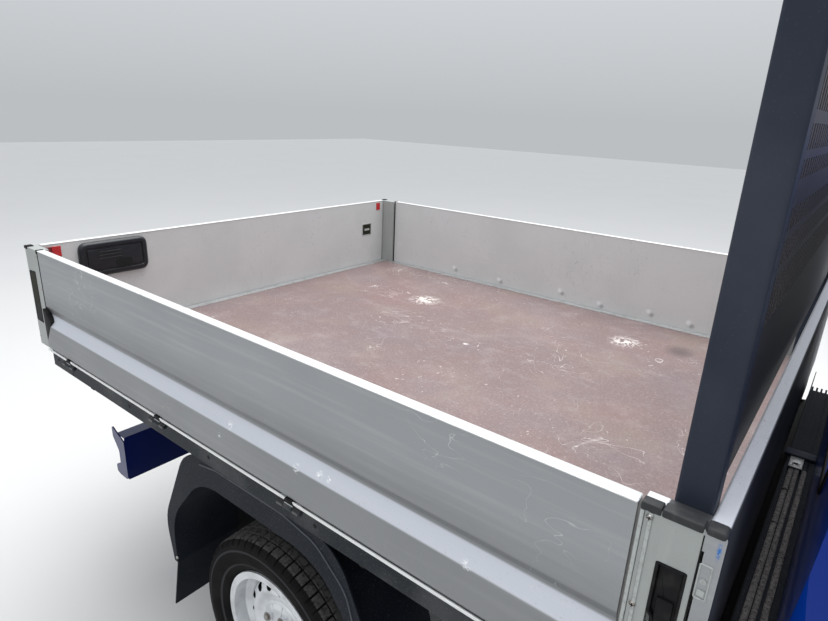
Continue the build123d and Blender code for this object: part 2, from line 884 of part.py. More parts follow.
# Suspension: lower arms and struts in front, a beam axle on leaf springs behind
rail_base = cab_rail_bottom - seat_gap
with BuildPart() as suspension:
    arm_rows = (
        (front_axle - 150, -rail_outer + 40, 0),
        (front_axle + 150, -rail_outer + 40, 0),
        (front_axle + 28, -kingpin_half, 0),
        (front_axle - 28, -kingpin_half, 0),
    )
    prism_z(arm_rows, (arm_low, arm_high))
    bar((front_axle, -kingpin_half, arm_low), (front_axle, -kingpin_half, arm_high), 28)
    for leg_x in (front_axle - 110, front_axle + 110):
        block((leg_x - 25, leg_x + 25), (-rail_outer + 5, -rail_outer + 65), (arm_low, rail_base))
    block((front_axle - 60, front_axle + 60), (-rail_outer + 30, 0), (arm_low, arm_high))
    bar(
        (front_axle, -strut_half, bracket_low - 20),
        (front_axle, -strut_half, tyre_radius + arch_radius - 1.2),
        strut_radius,
    )
    block(
        (front_axle - 25, front_axle + 25),
        (-kingpin_half, -strut_half),
        (bracket_low, bracket_high),
    )
    bar((front_axle, -kingpin_half, bracket_low), (front_axle, -kingpin_half, bracket_high), 25)
    bar(
        (front_axle, -kingpin_half, arm_low - 1),
        (front_axle, -kingpin_half, bracket_high + 1),
        kingpin_radius + pin_clearance,
        Mode.SUBTRACT,
    )
    # Rear axle tube, hub and brake disc
    bar((rear_axle, 0, tyre_radius), (rear_axle, -hub_face, tyre_radius), 42)
    bar((rear_axle, -hub_face + 40, tyre_radius), (rear_axle, -hub_face, tyre_radius), 60)
    bar(
        (rear_axle, -kingpin_half - 40, tyre_radius),
        (rear_axle, -kingpin_half - 60, tyre_radius),
        brake_radius,
    )
    # Leaf spring between its two hangers
    leaf_base = tyre_radius + leaf_lift
    with BuildSketch(Plane.XZ.offset(chassis_rail_half - 30)):
        with BuildLine():
            ThreePointArc(
                (rear_axle - leaf_reach, leaf_base + leaf_rise),
                (rear_axle, leaf_base),
                (rear_axle + leaf_reach, leaf_base + leaf_rise),
            )
            Line(
                (rear_axle + leaf_reach, leaf_base + leaf_rise),
                (rear_axle + leaf_reach, leaf_base + leaf_rise + 24),
            )
            ThreePointArc(
                (rear_axle + leaf_reach, leaf_base + leaf_rise + 24),
                (rear_axle, leaf_base + 30),
                (rear_axle - leaf_reach, leaf_base + leaf_rise + 24),
            )
            Line(
                (rear_axle - leaf_reach, leaf_base + leaf_rise + 24),
                (rear_axle - leaf_reach, leaf_base + leaf_rise),
            )
        make_face()
    extrude(amount=60)
    for hanger_x in (rear_axle - leaf_reach, rear_axle + leaf_reach):
        block(
            (hanger_x - 22, hanger_x + 22),
            (-chassis_rail_half - 32, -chassis_rail_half + 32),
            (leaf_base + leaf_rise - 20, chassis_rail_bottom - seat_gap),
        )
    mirror(about=Plane.XZ)
keep(suspension.part, "suspension")

# Cab: rows of (x, z, corner radius) seen from the side
cab_side_rows = (
    (cab_rear, body_bottom, 15),
    (cab_rear, belt_height, 900),
    (cab_rear + 48, roof_height - 52, 110),
    (cab_rear + 880, roof_height + 15, 4000),
    (header_x, roof_height - 32, 260),
    (cowl_x, cowl_top, 60),
    (nose - 202, body_bottom + 715, 350),
    (nose - 50, body_bottom + 490, 300),
    (nose, body_bottom + 260, 80),
    (nose, body_bottom + 120, 60),
    (nose - 62, body_bottom, 40),
)
# Rows of (y, z, corner radius) seen from the front, one half and the crown of the roof
cab_front_half = (
    (cab_half - 12, body_bottom, 30),
    (cab_half + 3, body_bottom + 120, 200),
    (cab_half + 3, belt_height, 500),
    (cab_half - 150, roof_height - 85, 140),
)
cab_crown = (0, roof_height + 33, 3000)
# Rows of (x, y, corner radius) seen from above, one half
cab_plan_half = (
    (nose, 300, 600),
    (nose - 24, 600, 400),
    (nose - 200, 880, 260),
    (nose - 640, cab_half, 900),
    (cab_rear, cab_half, 80),
)
cab_front_rows = cab_front_half + (cab_crown,) + tuple((-y, z, r) for y, z, r in reversed(cab_front_half))
cab_plan_rows = cab_plan_half + tuple((x, -y, r) for x, y, r in reversed(cab_plan_half))


def inset_rows(rows, inset):
    """Rows of a closed outline with every side moved in by an even amount."""
    corners = [Vector(across, up) for across, up, _ in rows]
    earlier = corners[-1:] + corners[:-1]
    later = corners[1:] + corners[:1]
    area = sum(here.X * after.Y - after.X * here.Y for here, after in zip(corners, later))
    turn = 1 if area > 0 else -1
    moved = []
    for before, here, after, row in zip(earlier, corners, later, rows):
        arriving = (here - before).normalized()
        leaving = (after - here).normalized()
        inward = Vector(-arriving.Y - leaving.Y, arriving.X + leaving.X) * turn
        corner = here + inward * (inset / (1 + arriving.dot(leaving)))
        bulging = (arriving.X * leaving.Y - arriving.Y * leaving.X) * turn > 0
        radius = max(row[2] - inset, 0) if bulging else row[2] + inset
        moved.append((corner.X, corner.Y, radius))
    return moved


def cab_form(inset):
    """The cab's closed form, its faces moved in by an even amount."""
    with BuildPart() as form:
        prism_y(inset_rows(cab_side_rows, inset), (-cab_half - 20, cab_half + 20))
        prism_x(inset_rows(cab_front_rows, inset), (cab_rear - 20, nose + 20), Mode.INTERSECT)
        prism_z(inset_rows(cab_plan_rows, inset), (body_bottom - 20, roof_height + 40), Mode.INTERSECT)
    return form.part


full_width = (-cab_half - 30, cab_half + 30)
cab_skin = cab_form(0)
cab_lining = cab_form(cab_wall)
glass_outer = cab_form(glass_setback)
glass_inner = cab_form(glass_setback + glass_thickness)

with BuildPart() as glass_shell:
    add(glass_outer)
    add(glass_inner, mode=Mode.SUBTRACT)

# The cab with its cabin, engine bay and wheel arches hollowed out
with BuildPart() as cabin_space:
    add(cab_lining)
    block((firewall, nose), full_width, (body_bottom, cowl_height), Mode.SUBTRACT)
    block((cab_rear, firewall + 1), full_width, (body_bottom, cab_floor_top), Mode.SUBTRACT)
with BuildPart() as engine_space:
    add(cab_form(bay_wall))
    block((cab_rear, firewall + firewall_thickness), full_width, (body_bottom, roof_height), Mode.SUBTRACT)
    block(
        (firewall, bonnet_rear),
        full_width,
        (cowl_height - firewall_thickness, roof_height),
        Mode.SUBTRACT,
    )
bonnet_rows = (
    (bonnet_rear, -bonnet_half_rear, 25),
    (bonnet_rear + bonnet_shoulder, -bonnet_half_rear, 200),
    (bonnet_front, -bonnet_half_front, 70),
    (bonnet_front, bonnet_half_front, 70),
    (bonnet_rear + bonnet_shoulder, bonnet_half_rear, 200),
    (bonnet_rear, bonnet_half_rear, 25),
)
screen_rows = (
    (-screen_half_low, screen_low, 40),
    (screen_half_low, screen_low, 40),
    (screen_half_high, screen_high, 90),
    (-screen_half_high, screen_high, 90),
)
rear_window_rows = (
    (-560, belt_height + 130, 60),
    (560, belt_height + 130, 60),
    (530, roof_height - 250, 60),
    (-530, roof_height - 250, 60),
)
quarter_rows = (
    (front_door_front + 58, window_bottom + 15, 20),
    (cowl_x - 160, window_bottom + 15, 14),
    (front_door_front + 58, door_top - 295, 20),
)
# Rows of (x, z, corner radius) of the doors, seen from the side
front_door_rows = (
    (front_door_rear, door_bottom, 60),
    (front_door_front, door_bottom, 200),
    (front_door_front, door_top - 235, 40),
    (front_door_front - 250, door_top, 60),
    (front_door_rear, door_top, 60),
)
rear_door_rows = (
    (rear_door_rear, door_bottom, 60),
    (rear_door_front, door_bottom, 60),
    (rear_door_front, door_top, 60),
    (rear_door_rear, door_top, 60),
)
door_plane = centre_split - 40


def door_prism(rows, mode=Mode.ADD):
    """A door's outline run outward through the right wall along the slant of its shut faces."""
    depth = cab_half - door_plane
    with BuildSketch(Plane.XZ.offset(door_plane)) as face:
        outline([(x + door_slope * depth, z, radius) for x, z, radius in rows])
    reach = Vector(-door_slope, -1, 0) * (depth + 30)
    extrude(face.sketch, amount=reach.length, dir=reach.normalized(), mode=mode)


def door_hinge_axis(front_edge):
    """The x of a door's hinge line, from the door's front edge."""
    return front_edge - door_hinge_back


hinge_line_y = -cab_half - door_hinge_out


def body_knuckle(front_edge, height):
    """The body's half of a door hinge: a lug, its barrel and the pin."""
    hinge_x = door_hinge_axis(front_edge)
    block(
        (hinge_x, front_edge + 20),
        (hinge_line_y + 1, hinge_line_y + 9),
        (height - 11, height + 11),
    )
    bar((hinge_x, hinge_line_y, height - 11), (hinge_x, hinge_line_y, height + 11), door_hinge_radius)
    bar((hinge_x, hinge_line_y, height - 31), (hinge_x, hinge_line_y, height + 31), door_pin_radius)


def door_knuckle(front_edge, height):
    """The door's half of a hinge: a pocket and two bored barrels."""
    hinge_x = door_hinge_axis(front_edge)
    block(
        (hinge_x - 14, front_edge + 20),
        (hinge_line_y - 6, hinge_line_y + 15),
        (height - 16, height + 16),
        Mode.SUBTRACT,
    )
    for low, high in ((height - 32, height - 12), (height + 12, height + 32)):
        bar((hinge_x, hinge_line_y, low), (hinge_x, hinge_line_y, high), door_hinge_radius)
    bar(
        (hinge_x, hinge_line_y, height - 33),
        (hinge_x, hinge_line_y, height + 33),
        door_pin_radius + pin_clearance,
        Mode.SUBTRACT,
    )


bonnet_hinge_x = bonnet_rear + 8
bonnet_slope = (cowl_top - body_bottom - 715) / (nose - 202 - cowl_x)
bonnet_hinge_z = cowl_top - bonnet_slope * (bonnet_hinge_x - cowl_x) - 2

with BuildPart() as door_openings:
    door_prism(inset_rows(front_door_rows, -panel_gap))
    door_prism(inset_rows(rear_door_rows, -panel_gap))
    mirror(about=Plane.XZ)
    add(cab_form(cab_wall + door_sill_gap), mode=Mode.SUBTRACT)

with BuildPart() as cab:
    add(cab_skin)
    add(cabin_space.part, mode=Mode.SUBTRACT)
    add(engine_space.part, mode=Mode.SUBTRACT)
    block(
        (cab_rear - 1, firewall + firewall_thickness + 1),
        (-sill_inner, sill_inner),
        (body_bottom - 1, cab_floor_bottom),
        Mode.SUBTRACT,
    )
    block(
        (firewall, bumper_rear - 40),
        (-sill_inner, sill_inner),
        (body_bottom - 1, body_bottom + bay_wall + 1),
        Mode.SUBTRACT,
    )
    # Wheel arches: a liner inside, then the clear space for the wheel
    for side in (-1, 1):
        bar(
            (front_axle, side * (arch_inner - arch_skin), tyre_radius),
            (front_axle, side * (cab_half - bay_wall + 1), tyre_radius),
            arch_radius + arch_skin,
        )
    for side in (-1, 1):
        bar(
            (front_axle, side * arch_inner, tyre_radius),
            (front_axle, side * (cab_half + 20), tyre_radius),
            arch_radius,
            Mode.SUBTRACT,
        )
    block(
        (front_axle - arch_radius - 20, front_axle + arch_radius + 20),
        full_width,
        (-200, body_bottom),
        Mode.SUBTRACT,
    )
    block(
        (firewall, bumper_rear - 40),
        (-arch_inner, arch_inner),
        (body_bottom - 1, cab_floor_bottom),
        Mode.SUBTRACT,
    )
    add(door_openings.part, mode=Mode.SUBTRACT)
    # Windows
    prism_x(screen_rows, (header_x - 60, nose), Mode.SUBTRACT)
    prism_x(rear_window_rows, (cab_rear - 1, cab_rear + 200), Mode.SUBTRACT)
    prism_y(quarter_rows, full_width, Mode.SUBTRACT)
    # Bonnet, lamps, grille and bumper take their own space
    prism_z(inset_rows(bonnet_rows, -panel_gap), (lamp_top + 30, roof_height), Mode.SUBTRACT)
    block((bumper_rear, nose + 1), full_width, (body_bottom - 1, bumper_top), Mode.SUBTRACT)
    block((lamp_rear, nose + 1), (-lamp_outer, lamp_outer), (bumper_top - 1, lamp_top), Mode.SUBTRACT)

# The cab's panels: body sides with the rear wall, the roof, the floor and the front wings
side_front = front_door_front + panel_gap
panel_break = screen_low - 70
split_low = screen_half_low - 4
split_high = screen_half_high - 4
split_slope = (split_low - split_high) / (screen_high - screen_low)
centre_rows = (
    (-split_low - split_slope * 70, panel_break, 0),
    (split_low + split_slope * 70, panel_break, 0),
    (split_high - split_slope * 150, screen_high + 150, 0),
    (-split_high + split_slope * 150, screen_high + 150, 0),
)
with BuildPart() as cab_centre:
    block((cab_rear + 150, bonnet_rear - panel_gap), (-centre_split, centre_split), (0, panel_break))
    prism_x(centre_rows, (cab_rear + 150, cowl_x + 60))
with BuildPart() as nose_zone:
    block((bonnet_rear - panel_gap, nose + 1), full_width, (0, panel_break))
    for side in (-1, 1):
        wing_span = sorted((side * centre_split, side * (cab_half + 30)))
        block((side_front, bonnet_rear), wing_span, (0, panel_break))

with BuildPart() as cab_floor:
    add(cab.part)
    add(cab_centre.part, mode=Mode.INTERSECT)
    block((cab_rear, nose), full_width, (roof_split, roof_height + 50), Mode.SUBTRACT)
    # Pins and lugs of the bonnet's hinges
    for side in (-1, 1):
        hinge_span = sorted((side * (bonnet_hinge_half - 11), side * (bonnet_hinge_half + 11)))
        pin_span = sorted((side * (bonnet_hinge_half - 31), side * (bonnet_hinge_half + 31)))
        block((bonnet_rear - 24, bonnet_hinge_x), hinge_span, (bonnet_hinge_z - 9, bonnet_hinge_z - 1))
        bar(
            (bonnet_hinge_x, hinge_span[0], bonnet_hinge_z),
            (bonnet_hinge_x, hinge_span[1], bonnet_hinge_z),
            door_hinge_radius,
        )
        bar(
            (bonnet_hinge_x, pin_span[0], bonnet_hinge_z),
            (bonnet_hinge_x, pin_span[1], bonnet_hinge_z),
            door_pin_radius,
        )
keep(cab_floor.part, "cab_floor")

with BuildPart() as cab_roof:
    add(cab.part)
    add(cab_centre.part, mode=Mode.INTERSECT)
    block((cab_rear, nose), full_width, (0, roof_split), Mode.SUBTRACT)
keep(cab_roof.part, "cab_roof")

with BuildPart() as front_hinges:
    for height in door_hinge_heights:
        body_knuckle(front_door_front, height)
    mirror(about=Plane.XZ)
with BuildPart() as rear_hinges:
    for height in door_hinge_heights:
        body_knuckle(rear_door_front, height)
    mirror(about=Plane.XZ)

with BuildPart() as front_wings:
    add(cab.part)
    add(nose_zone.part, mode=Mode.INTERSECT)
    add(front_hinges.part)
keep(front_wings.part, "front_wings")

with BuildPart() as cab_sides:
    add(cab.part)
    add(cab_centre.part, mode=Mode.SUBTRACT)
    add(nose_zone.part, mode=Mode.SUBTRACT)
    add(rear_hinges.part)
keep(cab_sides.part, "cab_sides")

# Fixed glass: windscreen, rear window and the two quarter windows
with BuildPart() as fixed_glass:
    add(glass_shell.part)
    with BuildPart(mode=Mode.INTERSECT):
        prism_x(inset_rows(screen_rows, seat_gap), (header_x - 60, nose))
        prism_x(inset_rows(rear_window_rows, seat_gap), (cab_rear - 1, cab_rear + 200))
        prism_y(inset_rows(quarter_rows, seat_gap), full_width)
keep(fixed_glass.part, "fixed_glass")

# Doors: rows of (name, outline, rear edge, front edge)
door_table = (
    ("front_door", front_door_rows, front_door_rear, front_door_front),
    ("rear_door", rear_door_rows, rear_door_rear, rear_door_front),
)
window_span = (-cab_half - 20, -centre_split + 60)
for name, door_rows, rear_edge, front_edge in door_table:
    with BuildPart() as door:
        add(cab_skin)
        add(cab_lining, mode=Mode.SUBTRACT)
        door_prism(door_rows, Mode.INTERSECT)
        with BuildPart(mode=Mode.SUBTRACT):
            prism_y(inset_rows(door_rows, window_border), window_span)
            block((rear_edge, front_edge), window_span, (0, window_bottom), Mode.SUBTRACT)
        for height in door_hinge_heights:
            door_knuckle(front_edge, height)
        # Outer handle
        handle_y = (-cab_half - 26, -cab_half - 14)
        block((rear_edge + 70, rear_edge + 210), handle_y, (belt_height - 135, belt_height - 113))
        for foot_x in (rear_edge + 76, rear_edge + 192):
            foot_span = (-cab_half - 20, -cab_half + 5)
            block((foot_x, foot_x + 12), foot_span, (belt_height - 135, belt_height - 113))
    keep(door.part, f"{name}_right")
    keep(left_of(door.part), f"{name}_left")
    with BuildPart() as pane:
        add(glass_shell.part)
        with BuildPart(mode=Mode.INTERSECT):
            prism_y(inset_rows(door_rows, window_border + seat_gap), window_span)
            block((rear_edge, front_edge), window_span, (0, window_bottom + seat_gap), Mode.SUBTRACT)
    keep(pane.part, f"{name}_glass_right")
    keep(left_of(pane.part), f"{name}_glass_left")

# Mirrors, each on an arm from its door
with BuildPart() as door_mirror:
    housing_rows = (
        (-cab_half - 40, window_bottom - 10, 30),
        (-cab_half - 44, window_bottom + 190, 50),
        (-cab_half - 190, window_bottom + 196, 60),
        (-cab_half - 198, window_bottom - 6, 40),
    )
    prism_x(housing_rows, (front_door_front - 140, front_door_front - 66))
    arm_span = (-cab_half - 60, -cab_half + 4 * seat_gap)
    block((front_door_front - 110, front_door_front - 76), arm_span, (window_bottom - 34, window_bottom + 6))
keep(door_mirror.part, "mirror_right")
keep(left_of(door_mirror.part), "mirror_left")

# Bonnet with its bored hinge barrels
with BuildPart() as bonnet:
    add(cab_skin)
    add(cab_form(bonnet_wall), mode=Mode.SUBTRACT)
    prism_z(bonnet_rows, (lamp_top + 30, roof_height), Mode.INTERSECT)
    for side in (-1, 1):
        pocket_span = sorted((side * (bonnet_hinge_half - 16), side * (bonnet_hinge_half + 16)))
        block(
            (bonnet_rear - 4, bonnet_hinge_x + 14),
            pocket_span,
            (bonnet_hinge_z - 15, bonnet_hinge_z + 12),
            Mode.SUBTRACT,
        )
        for low, high in ((-32, -12), (12, 32)):
            bar(
                (bonnet_hinge_x, side * bonnet_hinge_half + low, bonnet_hinge_z),
                (bonnet_hinge_x, side * bonnet_hinge_half + high, bonnet_hinge_z),
                door_hinge_radius,
            )
        bar(
            (bonnet_hinge_x, side * bonnet_hinge_half - 33, bonnet_hinge_z),
            (bonnet_hinge_x, side * bonnet_hinge_half + 33, bonnet_hinge_z),
            door_pin_radius + pin_clearance,
            Mode.SUBTRACT,
        )
keep(bonnet.part, "bonnet")

# Bumper, grille and lamps
with BuildPart() as bumper:
    add(cab_skin)
    add(cab_form(bay_wall), mode=Mode.SUBTRACT)
    with BuildPart(mode=Mode.INTERSECT):
        block(
            (bumper_rear + seat_gap, nose + 1),
            full_width,
            (body_bottom - 1, bumper_top - seat_gap),
        )
    with BuildPart(mode=Mode.SUBTRACT):
        block((nose - 60, nose + 1), (-380, 380), (body_bottom + 90, body_bottom + 200))
    for bar_z in (body_bottom + 115, body_bottom + 150):
        block((nose - 34, nose - 16), (-385, 385), (bar_z, bar_z + 14))
keep(bumper.part, "bumper")

with BuildPart() as grille:
    add(cab_form(3))
    add(cab_form(32), mode=Mode.SUBTRACT)
    with BuildPart(mode=Mode.INTERSECT):
        block(
            (nose - 250, nose + 1),
            (-lamp_inner + seat_gap, lamp_inner - seat_gap),
            (bumper_top + seat_gap, lamp_top - seat_gap),
        )
    with BuildSketch(Plane.YZ.offset(nose - 260)):
        with Locations((0, (bumper_top + lamp_top) / 2)):
            with GridLocations(0, 46, 1, 4):
                Rectangle(2 * lamp_inner - 90, 26)
    extrude(amount=280, mode=Mode.SUBTRACT)
keep(grille.part, "grille")

with BuildPart() as lamps:
    add(cab_skin)
    add(cab_form(70), mode=Mode.SUBTRACT)
    with BuildPart(mode=Mode.INTERSECT):
        for side in (-1, 1):
            lamp_span = sorted((side * (lamp_inner + seat_gap), side * (lamp_outer - seat_gap)))
            block(
                (lamp_rear + seat_gap, nose + 1),
                lamp_span,
                (bumper_top + seat_gap, lamp_top - seat_gap),
            )
    # Tail lamps on the rear beam
    for side in (-1, 1):
        lamp_span = sorted((side * (beam_half - 300), side * (beam_half - 20)))
        block(
            (beam_front - beam_plate - 40, beam_front - beam_plate - seat_gap),
            lamp_span,
            (beam_low + 25, beam_high - 25),
        )
        for lamp_step in (65, 155, 245):
            lamp_y = side * (beam_half - lamp_step)
            bar(
                (beam_front - beam_lip - 30, lamp_y, (beam_low + beam_high) / 2),
                (beam_front - beam_plate - 20, lamp_y, (beam_low + beam_high) / 2),
                42,
            )
keep(lamps.part, "lamps")

# Dashboard with the steering column
wheel_centre = Vector(header_x + 60, seat_half, cab_floor_top + wheel_rise)
column_line = Vector(-0.902, 0, 0.431).normalized()
column_radius = 13
dash_rows = (
    (firewall - seat_gap, cab_floor_top + 200, 0),
    (firewall - seat_gap, cowl_height + 18, 0),
    (firewall - 250, cowl_height + 18, 60),
    (firewall - 330, cowl_height - 40, 60),
    (firewall - 300, cowl_height - 270, 60),
    (firewall - 170, cab_floor_top + 200, 40),
)
with BuildPart() as dashboard:
    prism_y(dash_rows, (-cab_half + 98, cab_half - 98))
    bar(
        tuple(wheel_centre - column_line * 240),
        tuple(wheel_centre - column_line * 45),
        36,
    )
    bar(
        tuple(wheel_centre - column_line * 60),
        tuple(wheel_centre + column_line * 8),
        column_radius,
    )
keep(dashboard.part, "dashboard")

with BuildPart() as steering_wheel:
    with Locations(Plane(origin=tuple(wheel_centre), x_dir=(0, 1, 0), z_dir=column_line)):
        Torus(185, 14)
        Cylinder(48, 30)
        for spoke_angle in (0, 180, 270):
            with PolarLocations(105, 1, start_angle=spoke_angle):
                Box(150, 26, 14)
        Cylinder(column_radius + pin_clearance, 60, mode=Mode.SUBTRACT)
keep(steering_wheel.part, "steering_wheel")

# Seats: rows of (front edge of the cushion, middle, width)
seat_table = (
    (front_seat_edge, seat_half, 500),
    (front_seat_edge, -seat_half, 500),
    (rear_seat_edge, 0, 1300),
)
rest_table = (
    (front_seat_edge, seat_half),
    (front_seat_edge, -seat_half),
    (rear_seat_edge, seat_half - 20),
    (rear_seat_edge, 20 - seat_half),
)
cushion_top = cab_floor_top + cushion_height
with BuildPart() as seats:
    for seat_front, seat_y, seat_width in seat_table:
        seat_span = (seat_y - seat_width / 2, seat_y + seat_width / 2)
        cushion_rows = (
            (seat_front, cushion_top - 110, 30),
            (seat_front, cushion_top + 10, 45),
            (seat_front - 430, cushion_top - 20, 0),
            (seat_front - 430, cushion_top - 110, 0),
        )
        back_rows = (
            (seat_front - 350, cushion_top - 60, 30),
            (seat_front - 430, cushion_top + 590, 36),
            (seat_front - 520, cushion_top + 590, 36),
            (seat_front - 480, cushion_top - 60, 30),
        )
        prism_y(cushion_rows, seat_span)
        prism_y(back_rows, seat_span)
        block(
            (seat_front - 420, seat_front - 60),
            (seat_span[0] + 40, seat_span[1] - 40),
            (cab_floor_top + seat_gap, cushion_top - 109),
        )
    # Headrests
    for seat_front, rest_y in rest_table:
        rest_rows = (
            (seat_front - 435, cushion_top + 610, 25),
            (seat_front - 450, cushion_top + 770, 30),
            (seat_front - 520, cushion_top + 770, 30),
            (seat_front - 515, cushion_top + 610, 25),
        )
        prism_y(rest_rows, (rest_y - 120, rest_y + 120))
        for rod_y in (rest_y - 60, rest_y + 60):
            bar(
                (seat_front - 475, rod_y, cushion_top + 570),
                (seat_front - 475, rod_y, cushion_top + 620),
                7,
            )
keep(seats.part, "seats")

# Engine as one plain block on its mounts
with BuildPart() as engine_block:
    block((front_axle - 60, front_axle + 420), (-250, 250), (cab_rail_bottom + 20, cab_floor_top + 410))
    mount_half = chassis_rail_half - chassis_rail_width / 2 - seat_gap
    for mount_x in (front_axle + 20, front_axle + 300):
        block(
            (mount_x, mount_x + 60),
            (-mount_half, mount_half),
            (cab_rail_bottom + 30, cab_rail_bottom + 90),
        )
keep(engine_block.part, "engine_block")

# Fuel tank on the left rail
tank_rows = (
    (rail_outer + seat_gap, chassis_rail_bottom - 190, 20),
    (rail_outer + 290, chassis_rail_bottom - 190, 60),
    (rail_outer + 290, chassis_rail_top - 40, 60),
    (rail_outer + seat_gap, chassis_rail_top - 40, 20),
)
with BuildPart() as fuel_tank:
    prism_x(tank_rows, (rear_axle + 560, kick_rear - 40))
keep(fuel_tank.part, "fuel_tank")

# Ribbed tray in the gap between the bed and the cab
with BuildPart() as gap_tray:
    block((cab_rear - 68, cab_rear - seat_gap), (-700, 700), (floor_top - 30, floor_top - 22))
    for rib_step in range(5):
        rib_x = cab_rear - 66 + rib_step * 14
        block((rib_x, rib_x + 6), (-700, 700), (floor_top - 23, floor_top - 8))
    block((cab_rear - 12, cab_rear - seat_gap), (-700, 700), (floor_top - 80, floor_top - 8))
keep(gap_tray.part, "gap_tray")
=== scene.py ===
import bmesh
import bpy
import json
import math
import random
from mathutils import Matrix, Vector
from mathutils.bvhtree import BVHTree


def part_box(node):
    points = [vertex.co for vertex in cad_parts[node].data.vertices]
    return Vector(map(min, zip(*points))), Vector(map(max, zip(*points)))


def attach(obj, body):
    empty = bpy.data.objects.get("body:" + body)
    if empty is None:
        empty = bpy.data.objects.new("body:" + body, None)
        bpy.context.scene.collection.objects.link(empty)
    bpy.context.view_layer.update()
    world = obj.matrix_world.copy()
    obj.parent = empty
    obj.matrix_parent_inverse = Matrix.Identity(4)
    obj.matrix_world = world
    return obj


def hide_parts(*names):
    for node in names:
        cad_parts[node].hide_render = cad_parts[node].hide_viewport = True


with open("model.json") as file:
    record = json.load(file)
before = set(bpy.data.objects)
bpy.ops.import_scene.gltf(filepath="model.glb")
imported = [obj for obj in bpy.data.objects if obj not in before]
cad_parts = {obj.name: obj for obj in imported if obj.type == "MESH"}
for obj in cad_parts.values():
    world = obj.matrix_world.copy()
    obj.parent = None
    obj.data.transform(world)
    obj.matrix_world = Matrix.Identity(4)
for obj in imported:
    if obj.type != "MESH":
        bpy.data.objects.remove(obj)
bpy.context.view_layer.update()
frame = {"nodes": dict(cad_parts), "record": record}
nodes = frame["nodes"]

# Shared sizes, in metres, repeated from the CAD source
NOSE = 2.775
BED_REAR = 0.025 - NOSE
REAR_AXLE = BED_REAR + 1.217
FRONT_AXLE = REAR_AXLE + 3.4
BED_FRONT = BED_REAR + 2.346
BED_HALF = 0.997
FLOOR_TOP = 1.037
TYRE_RADIUS = 0.34
WHEEL_HALF_TRACK = 0.81
SIDES = ((-1, "right"), (1, "left"))

LOOKS = {}


